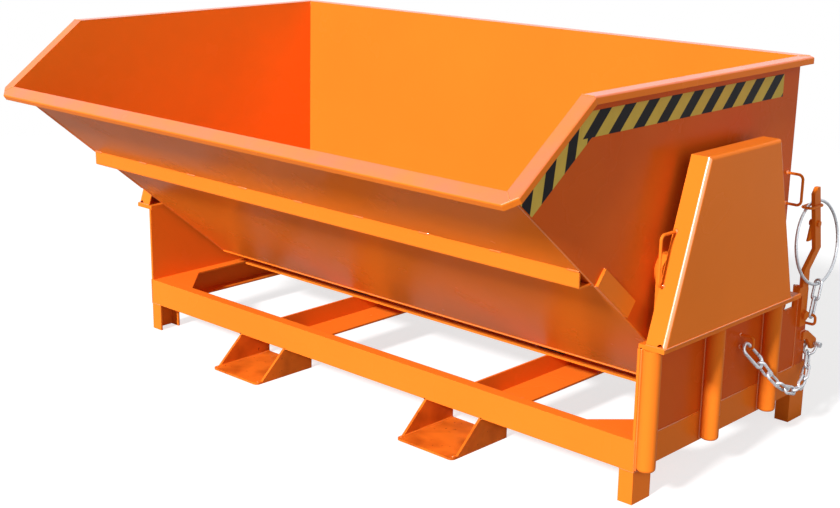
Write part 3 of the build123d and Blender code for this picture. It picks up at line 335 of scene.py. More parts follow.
def grain_group():
    """Fine waves of a coat and the slow waves of the sheet under it, as one height in metres."""
    group, given, out = new_group(
        "Coat waves", [("Fine size", "NodeSocketFloat", 0.003), ("Fine depth", "NodeSocketFloat", 0.00002),
                       ("Slow size", "NodeSocketFloat", 0.3), ("Slow depth", "NodeSocketFloat", 0.001)],
        [("Height", "NodeSocketFloat")])
    fine = object_noise(group, math_node(group, "DIVIDE", 1.0, given["Fine size"]), detail=1.0)
    slow = object_noise(group, math_node(group, "DIVIDE", 1.0, given["Slow size"]), detail=1.0, roughness=0.3)
    fine_height = math_node(group, "MULTIPLY", fine, given["Fine depth"])
    slow_height = math_node(group, "MULTIPLY", slow, given["Slow depth"])
    set_inputs(group, out, {"Height": math_node(group, "ADD", fine_height, slow_height)})
    return group


def mask_group(name, mask_maker):
    """A group that puts out one mask times an amount."""
    group, given, out = new_group(name, [("Amount", "NodeSocketFloat", 1.0)], [("Mask", "NodeSocketFloat")])
    set_inputs(group, out, {"Mask": math_node(group, "MULTIPLY", mask_maker(group), given["Amount"])})
    return group


# Where the painted shade on the outer faces starts and where it is full, in X times the normal's X.
OUTER_SHADE_START_X = 0.6
OUTER_SHADE_FULL_X = 0.9


def outer_shade_mask(group):
    """Cloudy mask on the faces that look away from the middle along X, where the painted shade goes."""
    place = add_node(group, "ShaderNodeSeparateXYZ", {0: object_place(group)})
    away = math_node(group, "MULTIPLY", place.outputs["X"], object_normal(group)["X"])
    outer = map_range(group, away, OUTER_SHADE_START_X, OUTER_SHADE_FULL_X)
    cloud = map_range(group, object_noise(group, scale=3.5, detail=4.0), 0.2, 0.8, to_low=0.8, to_high=1.2)
    return math_node(group, "MULTIPLY", outer, cloud)


def fold_mask(group):
    """Mask that is one on the rounded fold between a front face and a side face."""
    normal = object_normal(group)
    aside = math_node(group, "ABSOLUTE", normal["X"])
    off_front = map_range(group, aside, 0.05, 0.2)
    off_side = map_range(group, aside, 0.98, 0.85)
    ahead = map_range(group, normal["Y"], -0.1, -0.4)
    return math_node(group, "MULTIPLY", math_node(group, "MULTIPLY", off_front, off_side), ahead)


def upper_mask(group):
    """Mask that is one on faces that look up, where rain and hands polish the paint and where the painted sky
    sheen goes.
    """
    return map_range(group, object_normal(group)["Z"], 0.1, 0.5)


def scuff_and_shade_mask(group):
    """Rubbed patches with a few small pits; their darkening also paints the shade under the front rail."""
    rubbed_and_shaded = map_range(group, object_noise(group, scale=11.0), 0.38, 0.72, to_low=0.15, to_high=0.8)
    pits = map_range(group, object_noise(group, scale=75.0), 0.68, 0.73)
    return math_node(group, "MAXIMUM", rubbed_and_shaded, pits)


def outer_shade_group():
    """Painted shade on the outer faces of the ends."""
    return mask_group("Outer dust", outer_shade_mask)


def fold_group():
    """Polish on the folds of the guards."""
    return mask_group("Fold", fold_mask)


def upper_group():
    """Polish and the painted sky sheen on the faces that look up."""
    return mask_group("Upper", upper_mask)


def scuff_and_shade_group():
    """Wear of the fork shoes, with painted shade."""
    return mask_group("Scuffs", scuff_and_shade_mask)


# Materials


def new_material(name):
    """A material with its node tree and its Principled shader."""
    material = bpy.data.materials.new(name)
    material.use_nodes = True
    return material, material.node_tree, material.node_tree.nodes["Principled BSDF"]


def drifting(tree, colour, size, amount):
    """A colour that drifts lighter and darker over the piece."""
    return use_group(tree, cloud_group, {"Color": (*colour, 1), "Size": size, "Amount": amount})["Color"]


def wave_surface(tree, shader, fine_size, fine_depth, slow_size, slow_depth, normal=None):
    """Fine and slow waves as a bump, on top of another normal."""
    waves = use_group(tree, grain_group, {
        "Fine size": fine_size, "Fine depth": fine_depth, "Slow size": slow_size, "Slow depth": slow_depth})
    bump = add_node(tree, "ShaderNodeBump", {"Strength": 1.0, "Distance": 1.0, "Height": waves["Height"]})
    if normal is not None:
        set_inputs(tree, bump, {"Normal": normal})
    set_inputs(tree, shader, {"Normal": bump.outputs["Normal"]})


# Tint of the painted shade on the outer faces: darker and redder.
OUTER_SHADE_COLOUR = (0.62, 0.0, 0.0)
# Colour of the scuffs on the fork shoes, dark enough to paint their shade as well.
SCUFF_AND_SHADE_COLOUR = (0.4, 0.07, 0.006)
# Colour of the painted pink sky sheen on the upper faces of the rim.
SKY_SHEEN_COLOUR = (0.82, 0.15, 0.11)
PAINT_SHEEN = (1.0, 0.8, 0.4, 1.0)
PAINT_SPECULAR = 0.07
PAINT_DRIFT = 0.16
PAINT_DRIFT_SIZE = 450 * MM
# Painted highlight: how much lighter and yellower the paint is on its edges, and how much of it shows.
EDGE_HIGHLIGHT_LIFT = (1.1, 1.45, 2.2)
EDGE_HIGHLIGHT_SHARE = 0.45
PEEL_DEPTH = 0.008 * MM
SHEET_WAVE_LENGTH = 280 * MM


def orange_coat(name, paint, fine_scale=1.0, painted_shade=0.0, scuffs_and_shade=0.0, sky_sheen=0.0):
    """Sprayed paint with orange peel and a painted highlight on its edges; where asked, painted shade on the
    outer faces, scuffs that also paint shade, or a painted pink sky sheen.
    """
    material, tree, shader = new_material(name)
    edge = use_group(tree, edge_group, {"Radius": paint.edge_radius})
    # Painted highlight on the edges.
    edge_highlight = tuple(min(1.0, c * lift) for c, lift in zip(paint.orange, EDGE_HIGHLIGHT_LIFT))
    highlight_share = math_node(tree, "MULTIPLY", edge["Edge"], EDGE_HIGHLIGHT_SHARE)
    colour = mix_colour(tree, highlight_share, drifting(tree, paint.orange, PAINT_DRIFT_SIZE, PAINT_DRIFT), edge_highlight)
    # Painted shade on the outer faces.
    if painted_shade > 0:
        shade_share = use_group(tree, outer_shade_group, {"Amount": painted_shade})["Mask"]
        colour = mix_colour(tree, shade_share, colour, OUTER_SHADE_COLOUR, "MULTIPLY")
    # Scuffs, whose darkening also paints the shade on the fork shoes.
    if scuffs_and_shade > 0:
        worn_and_shaded = use_group(tree, scuff_and_shade_group, {"Amount": scuffs_and_shade})["Mask"]
        colour = mix_colour(tree, worn_and_shaded, colour, SCUFF_AND_SHADE_COLOUR)
    # Painted pink sky sheen on the faces that look up.
    if sky_sheen > 0:
        upper = use_group(tree, upper_group, {"Amount": sky_sheen})["Mask"]
        patchy = map_range(tree, object_noise(tree, scale=8.0, detail=4.0), 0.36, 0.62, to_low=0.35)
        colour = mix_colour(tree, math_node(tree, "MULTIPLY", upper, patchy), colour, SKY_SHEEN_COLOUR)
    set_inputs(tree, shader, {
        "Base Color": colour, "Roughness": varied(tree, scale=5.0, detail=3.0, low=0.2, high=0.3),
        "Specular IOR Level": PAINT_SPECULAR, "Specular Tint": PAINT_SHEEN})
    wave_surface(tree, shader, paint.peel_size * fine_scale, PEEL_DEPTH * fine_scale, SHEET_WAVE_LENGTH,
                 paint.sheet_wave, edge["Normal"])
    return material


GLOSS_ROUGHNESS = 0.42
GLOSS_IOR = 1.6
WELD_ROUGHNESS = 0.14
WELD_IOR = 2.0
WELD_FINENESS = 0.6
FOLD_ROUGHNESS = 0.36
FOLD_IOR = 2.4


def add_gloss(material, weight, roughness, ior):
    """A clear coat on a finished paint, with a mask or a plain value as its weight."""
    tree = material.node_tree
    set_inputs(tree, tree.nodes["Principled BSDF"], {
        "Coat Weight": weight, "Coat Roughness": roughness, "Coat IOR": ior})
    return material


def rim_coat(paint):
    """The same paint with a painted pink sky sheen, and with the clear gloss that catches the sky on the rim.
    """
    material = orange_coat("orange_rim", paint, sky_sheen=paint.rim_sky_sheen)
    upper = use_group(material.node_tree, upper_group, {"Amount": paint.rim_gloss})["Mask"]
    return add_gloss(material, upper, GLOSS_ROUGHNESS, GLOSS_IOR)


def guard_coat(paint):
    """The same paint, polished where the guards are folded."""
    material = orange_coat("orange_guard", paint)
    fold = use_group(material.node_tree, fold_group, {"Amount": paint.fold_gloss})["Mask"]
    return add_gloss(material, fold, FOLD_ROUGHNESS, FOLD_IOR)


def weld_coat(paint):
    """Paint on a weld: finer waves and a harder gloss, so that each ripple glints."""
    material = orange_coat("orange_weld", paint, WELD_FINENESS)
    return add_gloss(material, paint.rim_gloss, WELD_ROUGHNESS, WELD_IOR)


ZINC_SPANGLE = 160.0
ZINC_SHADE = 0.86


def zinc_plate(paint):
    """Bright zinc with a cloudy spangle and a white bloom."""
    material, tree, shader = new_material("zinc_plate")
    cells = add_node(tree, "ShaderNodeTexVoronoi", {"Vector": object_place(tree), "Scale": ZINC_SPANGLE})
    spangle = map_range(tree, cells.outputs["Distance"], 0.0, 0.9)
    shade = tuple(c * ZINC_SHADE for c in paint.zinc)
    set_inputs(tree, shader, {
        "Base Color": mix_colour(tree, spangle, paint.zinc, shade),
        "Metallic": varied(tree, scale=45.0, detail=3.0, low=0.75, high=0.45),
        "Roughness": varied(tree, scale=90.0, detail=3.0, low=0.2, high=0.42)})
    wave_surface(tree, shader, fine_size=1.4 * MM, fine_depth=0.03 * MM, slow_size=20 * MM,
                 slow_depth=0.1 * MM)
    return material


STEEL_EDGE_RADIUS = 0.8 * MM
STEEL_EDGE_LIFT = 2.2
STEEL_DRIFT = 0.5
STEEL_DRIFT_SIZE = 20 * MM


def bare_steel(paint):
    """Oiled dark steel of the pivot collars."""
    material, tree, shader = new_material("bare_steel")
    edge = use_group(tree, edge_group, {"Radius": STEEL_EDGE_RADIUS})
    bright = tuple(min(1.0, c * STEEL_EDGE_LIFT) for c in paint.steel)
    oiled = drifting(tree, paint.steel, STEEL_DRIFT_SIZE, STEEL_DRIFT)
    set_inputs(tree, shader, {
        "Base Color": mix_colour(tree, edge["Edge"], oiled, bright),
        "Metallic": 1.0,
        "Roughness": varied(tree, scale=120.0, detail=3.0, low=0.32, high=0.55)})
    wave_surface(tree, shader, fine_size=0.8 * MM, fine_depth=0.02 * MM, slow_size=10 * MM,
                 slow_depth=0.05 * MM, normal=edge["Normal"])
    return material


RUBBER_BLOOM = 0.06


def pad_rubber(paint):
    """Matt moulded rubber with a dusty bloom."""
    material, tree, shader = new_material("pad_rubber")
    bloom = map_range(tree, object_noise(tree, scale=40.0, detail=4.0), 0.45, 0.75, to_high=0.35)
    pale = tuple(c + RUBBER_BLOOM for c in paint.rubber)
    set_inputs(tree, shader, {
        "Base Color": mix_colour(tree, bloom, paint.rubber, pale),
        "Roughness": varied(tree, scale=60.0, detail=2.0, low=0.7, high=0.9)})
    wave_surface(tree, shader, fine_size=1.0 * MM, fine_depth=0.08 * MM, slow_size=30 * MM,
                 slow_depth=0.3 * MM)
    return material


TAPE_SPECULAR = 0.06
TAPE_DRIFT = 0.22
TAPE_DRIFT_SIZE = 50 * MM


def tape_film(tape):
    """Slanted black and yellow stripes that follow the tape's own length."""
    material, tree, shader = new_material("tape_film")
    uv = add_node(tree, "ShaderNodeUVMap", uv_map="tape").outputs["UV"]
    place = add_node(tree, "ShaderNodeSeparateXYZ", {0: uv}).outputs
    slant = math_node(tree, "SUBTRACT", place["X"], place["Y"])
    turn = math_node(tree, "FRACT", math_node(tree, "DIVIDE", slant, tape.stripe_pitch))
    is_black = math_node(tree, "LESS_THAN", turn, tape.black_share)
    yellow = drifting(tree, tape.yellow, TAPE_DRIFT_SIZE, TAPE_DRIFT)
    set_inputs(tree, shader, {
        "Base Color": mix_colour(tree, is_black, yellow, tape.black),
        "Roughness": varied(tree, scale=30.0, detail=3.0, low=0.3, high=0.45),
        "Specular IOR Level": TAPE_SPECULAR})
    wave_surface(tree, shader, fine_size=3.0 * MM, fine_depth=0.02 * MM, slow_size=40 * MM,
                 slow_depth=0.2 * MM)
    return material


def material_named(name):
    """A material that an earlier operator made."""
    if name not in bpy.data.materials:
        raise RuntimeError(f"the material {name} isn't made yet")
    return bpy.data.materials[name]


def dress_nodes(slot, material):
    """Gives a material to every CAD node whose record slot has that name."""
    dressed = [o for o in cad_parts.values() if o.material_slots[0].name == slot]
    if not dressed:
        raise RuntimeError(f"no CAD node has the material slot {slot}")
    for node in dressed:
        node.material_slots[0].material = material


# Modelling helpers


def start_clean():
    """Leaves edit mode and deselects everything."""
    if bpy.context.object and bpy.context.object.mode != "OBJECT":
        bpy.ops.object.mode_set(mode="OBJECT")
    bpy.ops.object.select_all(action="DESELECT")


def apply_place(piece, matrix):
    """Moves a piece and writes its place into its mesh."""
    start_clean()
    piece.select_set(True)
    bpy.context.view_layer.objects.active = piece
    piece.matrix_world = matrix
    bpy.ops.object.transform_apply(location=True, rotation=True, scale=True)


def join_pieces(parts, name):
    """Several meshes made one piece."""
    start_clean()
    for part in parts:
        part.select_set(True)
    bpy.context.view_layer.objects.active = parts[0]
    if len(parts) > 1:
        bpy.ops.object.join()
    piece = bpy.context.object
    piece.name = name
    piece.data.name = name
    return piece


def copy_moved(piece, move):
    """A copy of a piece with its own mesh, moved."""
    start_clean()
    piece.select_set(True)
    bpy.context.view_layer.objects.active = piece
    bpy.ops.object.duplicate()
    copy = bpy.context.object
    apply_place(copy, Matrix.Translation(move))
    return copy


def start_ring(sides, radius):
    """A ring of edges round Z, in edit mode and selected."""
    start_clean()
    bpy.ops.mesh.primitive_circle_add(vertices=sides, radius=radius)
    ring = bpy.context.object
    bpy.ops.object.mode_set(mode="EDIT")
    bpy.ops.mesh.select_all(action="SELECT")
    return ring


def raise_ring(rise, scale):
    """Extrudes the selected ring along Z and scales its new end."""
    bpy.ops.mesh.extrude_region_move(TRANSFORM_OT_translate={"value": (0, 0, rise)})
    bpy.ops.transform.resize(value=(scale, scale, 1))


def close_ends():
    """Fills the open ends of the piece in edit mode, turns its faces outward and smooths it."""
    bpy.ops.mesh.select_all(action="SELECT")
    bpy.ops.mesh.fill_holes(sides=0)
    bpy.ops.mesh.normals_make_consistent(inside=False)
    bpy.ops.object.mode_set(mode="OBJECT")
    bpy.ops.object.shade_smooth()


def aim_piece(piece, foot, axis):
    """Sets a piece that was made along Z on its foot and axis."""
    apply_place(piece, Matrix.Translation(foot) @ axis.to_track_quat("Z", "Y").to_matrix().to_4x4())


# Radius of each seam's bead as a share of a full bead
BEAD_SHARE = {
    "hopper foot": 1.0, "hopper end": 0.6, "stiffener": 0.8, "rim": 0.7, "rim mitre": 0.4,
    "inner corner": 0.7, "stop lug": 0.7, "rail corner": 0.5, "post tube": 1.0, "shoe": 1.0,
    "shoe floor": 0.7, "foot": 0.5, "end plate": 0.5, "ledge": 0.9, "guard foot": 0.7,
    "guard edge": 0.5, "lock post": 0.6,
}
BEAD_SIDES = 8
BEAD_NECK = 0.86
BEAD_MERGE = 0.05


def bead_between(start, end, seam, welds):
    """A rippled weld bead: one ripple, repeated along the seam and closed at both ends."""
    run = end - start
    count = max(1, ceil(run.length / welds.ripple))
    step = run.length / count
    bead = start_ring(BEAD_SIDES, welds.bead * BEAD_SHARE[seam] * BEAD_NECK)
    for swell in (1 / BEAD_NECK, BEAD_NECK):
        raise_ring(step / 2, swell)
    bpy.ops.object.mode_set(mode="OBJECT")
    array = bead.modifiers.new("ripples", "ARRAY")
    array.count = count
    array.use_relative_offset = False
    array.use_constant_offset = True
    array.constant_offset_displace = (0, 0, step)
    array.use_merge_vertices = True
    array.merge_threshold = step * BEAD_MERGE
    bpy.ops.object.modifier_apply(modifier="ripples")
    bpy.ops.object.mode_set(mode="EDIT")
    close_ends()
    aim_piece(bead, start, run)
    return bead


def stitches_between(start, end, seam, length, welds):
    """Short beads of one length at an even pitch along a seam."""
    run = end - start
    count = max(2, round(run.length / welds.stitch_pitch))
    half = run.normalized() * (length / 2)
    middles = [start + half + (run - 2 * half) * (i / (count - 1)) for i in range(count)]
    return [bead_between(m - half, m + half, seam, welds) for m in middles]


COLLAR_SIDES = 16
COLLAR_SINK = 1.5 * MM
COLLAR_SHOULDER = 0.35
COLLAR_DRAW = 0.2


def rod_collar(foot, axis, rod, leg):
    """A weld round the foot of a rod: a ring drawn in to the rod in two steps, closed at both ends."""
    wide = rod / 2 + leg
    shoulder = wide - leg * COLLAR_DRAW
    collar = start_ring(COLLAR_SIDES, wide)
    raise_ring(COLLAR_SINK + leg * COLLAR_SHOULDER, shoulder / wide)
    raise_ring(leg * (1 - COLLAR_SHOULDER), rod / 2 / shoulder)
    close_ends()
    aim_piece(collar, foot - axis * COLLAR_SINK, axis)
    return collar


def finish_weld(beads, name, body):
    """Joins beads to one painted piece on a body."""
    piece = join_pieces(beads, name)
    piece.data.materials.clear()
    piece.data.materials.append(material_named("orange_weld"))
    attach(piece, body)
    return piece


# Operators


# Pieces whose outer faces get the painted shade.
SHADED_NODES = ("hopper_end_right", "hopper_end_left", "end_plate_right", "end_plate_left", "lock_post")
RIM_NODES = ("rim_front", "rim_rear", "rim_right", "rim_left")
GUARD_NODES = ("guard_right", "guard_left")
SHOE_NODES = ("fork_shoe_left", "fork_shoe_right")


class HOPPER_OT_coat_steel(bpy.types.Operator):
    """Paint every orange piece of the base and the hopper"""

    bl_idname = "hopper.coat_steel"
    bl_label = "Coat steel"

    def execute(self, context):
        paint = context.scene.hopper_paint
        dress_nodes("orange", orange_coat("orange_coat", paint))
        # Painted shade on the outer faces of the end sheets, the end plates and the lock post.
        shaded_coat = orange_coat("orange_dusty", paint, painted_shade=paint.painted_shade)
        # Scuffs on the fork shoes, whose darkening also paints their shade.
        rubbed_and_shaded = orange_coat("orange_rubbed", paint, scuffs_and_shade=paint.scuffs_and_shade)
        coats = ((SHADED_NODES, shaded_coat), (RIM_NODES, rim_coat(paint)), (GUARD_NODES, guard_coat(paint)),
                 (SHOE_NODES, rubbed_and_shaded))
        for names, material in coats:
            for name in names:
                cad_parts[name].material_slots[0].material = material
        weld_coat(paint)
        return {"FINISHED"}


class HOPPER_OT_finish_fittings(bpy.types.Operator):
    """Plate the chain and ring, oil the pivot collars, and finish the rest pads"""

    bl_idname = "hopper.finish_fittings"
    bl_label = "Finish fittings"

    def execute(self, context):
        paint = context.scene.hopper_paint
        dress_nodes("zinc", zinc_plate(paint))
        dress_nodes("dark_steel", bare_steel(paint))
        dress_nodes("rubber", pad_rubber(paint))
        return {"FINISHED"}


TAPE_TOP_GAP = 41 * MM
TAPE_REAR_GAP = 84 * MM
TAPE_LEVEL_FRONT = -3 * MM
TAPE_SLOPE_FOOT = 7 * MM
TAPE_LEVEL_PHASE = 91 * MM
TAPE_SLOPE_PHASE = 36 * MM
TAPE_CORNER = 3 * MM
TAPE_CORNER_STEPS = 4
TAPE_TRIM = 2 * MM


def tape_strip(length, tape, matrix, phase):
    """A strip of film with rounded corners, laid in place and trimmed at the front edge of the end sheet."""
    start_clean()
    bpy.ops.mesh.primitive_plane_add(size=1)
    strip = bpy.context.object
    bpy.ops.object.mode_set(mode="EDIT")
    bpy.ops.mesh.select_all(action="SELECT")
    bpy.ops.transform.resize(value=(length, tape.width, 1))
    bpy.ops.transform.translate(value=(length / 2, tape.width / 2, 0))
    bpy.ops.mesh.bevel(offset=TAPE_CORNER, segments=TAPE_CORNER_STEPS, affect="VERTICES")
    bpy.ops.mesh.select_all(action="SELECT")
    bpy.ops.mesh.extrude_region_move(TRANSFORM_OT_translate={"value": (0, 0, tape.thickness)})
    bpy.ops.mesh.select_all(action="SELECT")
    bpy.ops.mesh.normals_make_consistent(inside=False)
    bpy.ops.object.mode_set(mode="OBJECT")
    layer = strip.data.uv_layers.new(name="tape")
    for loop in strip.data.loops:
        place = strip.data.vertices[loop.vertex_index].co
        layer.data[loop.index].uv = (place.x + phase, place.y)
    apply_place(strip, matrix)
    bpy.ops.object.mode_set(mode="EDIT")
    bpy.ops.mesh.select_all(action="SELECT")
    edge = FRONT_FOOT - FRONT_OUT * TAPE_TRIM
    bpy.ops.mesh.bisect(plane_co=edge, plane_no=FRONT_OUT, use_fill=True, clear_outer=True)
    bpy.ops.object.mode_set(mode="OBJECT")
    return strip


class HOPPER_OT_lay_tape(bpy.types.Operator):
    """Lay hazard tape on both end walls, under the rim and down its slope"""

    bl_idname = "hopper.lay_tape"
    bl_label = "Lay hazard tape"

    def execute(self, context):
        tape = context.scene.hopper_tape
        film = tape_film(tape)
        level_foot = Vector((0, RIM_BEND.y + TAPE_LEVEL_FRONT, RIM_TOP_Z - TAPE_TOP_GAP - tape.width))
        level_length = REAR_TOP.y - TAPE_REAR_GAP - level_foot.y
        slope_foot = LIP + SLOPE_UP * TAPE_SLOPE_FOOT + SLOPE_IN * (TAPE_TOP_GAP + tape.width)
        slope_length = (RIM_BEND - LIP).length - TAPE_SLOPE_FOOT
        outward = Vector((1, 0, 0))
        for side, name in ((1, "hazard_tape_right"), (-1, "hazard_tape_left")):
            wall_x = side * WALL_X
            level_start = beside(wall_x + side * tape.thickness, level_foot)
            slope_start = beside(wall_x, slope_foot)
            strips = []
            for start, along, length, phase in (
                    (level_start, Vector((0, 1, 0)), level_length, TAPE_LEVEL_PHASE),
                    (slope_start, SLOPE_UP, slope_length, TAPE_SLOPE_PHASE)):
                turn = Matrix((along, outward.cross(along), outward)).transposed().to_4x4()
                strips.append(tape_strip(length, tape, Matrix.Translation(start) @ turn, phase))
            piece = join_pieces(strips, name)
            if side < 0:
                piece.data.transform(Matrix.Translation(-outward * tape.thickness))
            piece.data.materials.clear()
            piece.data.materials.append(film)
            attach(piece, "hopper")
        return {"FINISHED"}


RIM_MITRE = 21.5 * MM
RIM_LEVEL = 35 * MM


class HOPPER_OT_weld_hopper(bpy.types.Operator):
    """Weld beads on the hopper's seams, stiffener and rim"""

    bl_idname = "hopper.weld_hopper"
    bl_label = "Weld hopper"

    def execute(self, context):
        welds = context.scene.hopper_welds
        finish_weld(self.foot_beads(welds), "weld_hopper_foot", "hopper")
        finish_weld(self.end_beads(welds), "weld_hopper_ends", "hopper")
        finish_weld(self.stiffener_stitches(welds), "weld_stiffener", "hopper")
        finish_weld(self.rim_stitches(welds), "weld_rim", "hopper")
        finish_weld(self.mitre_beads(welds), "weld_rim_corners", "hopper")
        finish_weld(self.corner_tacks(welds), "weld_inner_corners", "hopper")
        finish_weld(self.lug_beads(welds), "weld_stop_lugs", "hopper")
        return {"FINISHED"}

    def foot_beads(self, welds):
        """Beads along the front and rear edges of the bottom."""
        return [bead_between(beside(-INSIDE_X, foot), beside(INSIDE_X, foot), "hopper foot", welds)
                for foot in (FRONT_FOOT, REAR_FOOT)]

    def end_beads(self, welds):
        """Beads up the corners where the end sheets meet the front and the rear."""
        beads = []
        for x in (INSIDE_X, -INSIDE_X):
            for foot, top in ((FRONT_FOOT, LIP), (REAR_FOOT, REAR_TOP)):
                beads.append(bead_between(beside(x, foot), beside(x, top), "hopper end", welds))
        return beads

    def stiffener_stitches(self, welds):
        """Stitches along the lower and upper edges of the stiffener."""
        low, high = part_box("stiffener")
        lines = []
        for z in (low.z, high.z):
            y = FRONT_FOOT.y + FRONT_UP.y * ((z - FRONT_FOOT.z) / FRONT_UP.z)
            start = Vector((low.x, y, z))
            lines += stitches_between(start, beside(high.x, start), "stiffener", welds.stitch, welds)
        return lines

    def rim_stitches(self, welds):
        """Stitches under the rim, along the top edges of the sheets."""
        edges = [(beside(-INSIDE_X, p), beside(INSIDE_X, p)) for p in (LIP, REAR_TOP)]
        for x in (WALL_X, -WALL_X):
            edges.append((beside(x, LIP), beside(x, RIM_BEND)))
            edges.append((beside(x, RIM_BEND), beside(x, REAR_TOP)))
        lines = []
        for start, end in edges:
            lines += stitches_between(start, end, "rim", welds.stitch, welds)
        return lines

    def mitre_beads(self, welds):
        """Beads across the top of the rim where its lengths meet."""
        aside = Vector((1, 0, 0))
        front = far_corner("rim_right", (-1, -0.01, 0))
        bend = far_corner("rim_right", (-0.01, -0.5, 1))
        rear = far_corner("rim_right", (-1, 0.01, 0.01))
        runs = ((front, (aside - SLOPE_UP) * RIM_MITRE), (bend, aside * RIM_LEVEL),
                (rear, Vector((1, 1, 0)) * RIM_MITRE))
        beads = []
        for start, run in runs:
            for flip in (Vector((1, 1, 1)), Vector((-1, 1, 1))):
                beads.append(bead_between(start * flip, (start + run) * flip, "rim mitre", welds))
        return beads

    def corner_tacks(self, welds):
        """Tacks up the two rear corners inside the hopper."""
        back = Vector((0, -SHEET, 0))
        tacks = []
        for x in (INSIDE_X, -INSIDE_X):
            foot = beside(x, REAR_FOOT) + back
            top = beside(x, REAR_TOP) + back
            tacks += stitches_between(foot, top, "inner corner", welds.tack, welds)
        return tacks

    def lug_beads(self, welds):
        """Beads along both long edges of the stop lugs."""
        beads = []
        for x in (WALL_X, -WALL_X):
            for side in (FRONT_OUT, -FRONT_OUT):
                start = far_corner("stop_lugs", side - FRONT_UP)
                end = far_corner("stop_lugs", side + FRONT_UP)
                beads.append(bead_between(beside(x, start), beside(x, end), "stop lug", welds))
        return beads


FOOT_WIDTH = 44 * MM
FOOT_DEPTH = 79 * MM
SHOE_CHEEK = 8 * MM
SHOE_FLOOR = 6 * MM
SHOE_TOE_SETBACK = 10 * MM
LUG_HEIGHT = 24 * MM
TUBE_SEAM_OUT = 0.4
TUBE_SEAM_ASIDE = 0.3


class HOPPER_OT_weld_base(bpy.types.Operator):
    """Weld beads on the base frame, its ends and its fork shoes"""

    bl_idname = "hopper.weld_base"
    bl_label = "Weld base"

    def execute(self, context):
        welds = context.scene.hopper_welds
        finish_weld(self.rail_beads(welds), "weld_rail_corners", "frame")
        finish_weld(self.tube_beads(welds), "weld_posts", "frame")
        finish_weld(self.shoe_beads(welds), "weld_fork_shoes", "frame")
        finish_weld(self.foot_beads(welds), "weld_feet", "frame")
        finish_weld(self.end_beads(welds), "weld_end_plates", "frame")
        finish_weld(self.guard_beads(welds), "weld_guards", "frame")
        finish_weld(self.post_beads(welds), "weld_lock_post", "frame")
        return {"FINISHED"}

    def rail_beads(self, welds):
        """Beads up the four corners of the base."""
        low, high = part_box("front_rail")
        rear_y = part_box("rear_rail")[1].y
        return [bead_between(Vector((x, y, low.z)), Vector((x, y, high.z)), "rail corner", welds)
                for x in (low.x, high.x) for y in (low.y, rear_y)]

    def tube_beads(self, welds):
        """Beads up both sides of each post tube, where it meets the end plate."""
        rail_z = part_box("front_rail")[0].z
        low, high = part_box("post_tubes")
        diameter = high.x - low.x
        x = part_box("end_plate_right")[1].x + welds.bead * TUBE_SEAM_OUT
        beads = []
        for middle in (low.y + diameter / 2, (low.y + high.y) / 2, high.y - diameter / 2):
            for aside in (-TUBE_SEAM_ASIDE, TUBE_SEAM_ASIDE):
                y = middle + aside * diameter
                start = Vector((x, y, rail_z + welds.bead))
                beads.append(bead_between(start, Vector((x, y, high.z)), "post tube", welds))
        return beads

    def shoe_beads(self, welds):
        """Beads where the shoes meet the front rail, and inside along their cheeks."""
        rail_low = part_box("front_rail")[0]
        beads = []
        for name in SHOE_NODES:
            low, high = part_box(name)
            for x in (low.x, high.x):
                start = beside(x, rail_low)
                beads.append(bead_between(start, Vector((x, high.y, rail_low.z)), "shoe", welds))
            for x in (low.x + SHOE_CHEEK, high.x - SHOE_CHEEK):
                start = Vector((x, low.y + SHOE_TOE_SETBACK, SHOE_FLOOR))
                beads.append(bead_between(start, Vector((x, high.y, SHOE_FLOOR)), "shoe floor", welds))
        return beads

    def foot_beads(self, welds):
        """Beads where the outer faces of the feet meet the rails."""
        low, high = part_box("feet")
        beads = []
        for x, inward_x in ((high.x, -FOOT_WIDTH), (low.x, FOOT_WIDTH)):
            for y, inward_y in ((low.y, FOOT_DEPTH), (high.y, -FOOT_DEPTH)):
                corner = Vector((x, y, high.z))
                for run in (Vector((inward_x, 0, 0)), Vector((0, inward_y, 0))):
                    beads.append(bead_between(corner, corner + run, "foot", welds))
        return beads

    def end_beads(self, welds):
        """Beads along the foot of each end plate and under its ledge."""
        low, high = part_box("end_plate_right")
        ledge_low, ledge_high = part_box("ledge_right")
        seams = ((low.z, low.y, high.y, "end plate"), (high.z, ledge_low.y, ledge_high.y, "ledge"))
        return [bead_between(Vector((x, start_y, z)), Vector((x, end_y, z)), seam, welds)
                for x in (high.x, -high.x) for z, start_y, end_y, seam in seams]

    def guard_beads(self, welds):
        """Beads across the front and rear feet of the guards and along their outer edges."""
        low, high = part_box("guard_right")
        beads = []
        for side in (1, -1):
            outer_x = side * high.x
            for y in (low.y, high.y):
                start = Vector((side * low.x, y, low.z))
                beads.append(bead_between(start, beside(outer_x, start), "guard foot", welds))
            start = Vector((outer_x, low.y, low.z))
            beads.append(bead_between(start, Vector((outer_x, high.y, low.z)), "guard edge", welds))
        return beads

    def post_beads(self, welds):
        """Beads up the lock post's seam and round the foot of the shackle's arm."""
        low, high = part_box("lock_post")
        arm_low, arm_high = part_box("shackle_lug")
        front = Vector((high.x, arm_low.y, arm_high.z))
        lines = ((Vector((high.x, low.y, low.z)), Vector((high.x, low.y, high.z))),
                 (front - Vector((0, 0, LUG_HEIGHT)), front), (front, Vector((high.x, high.y, arm_high.z))))
        return [bead_between(start, end, "lock post", welds) for start, end in lines]


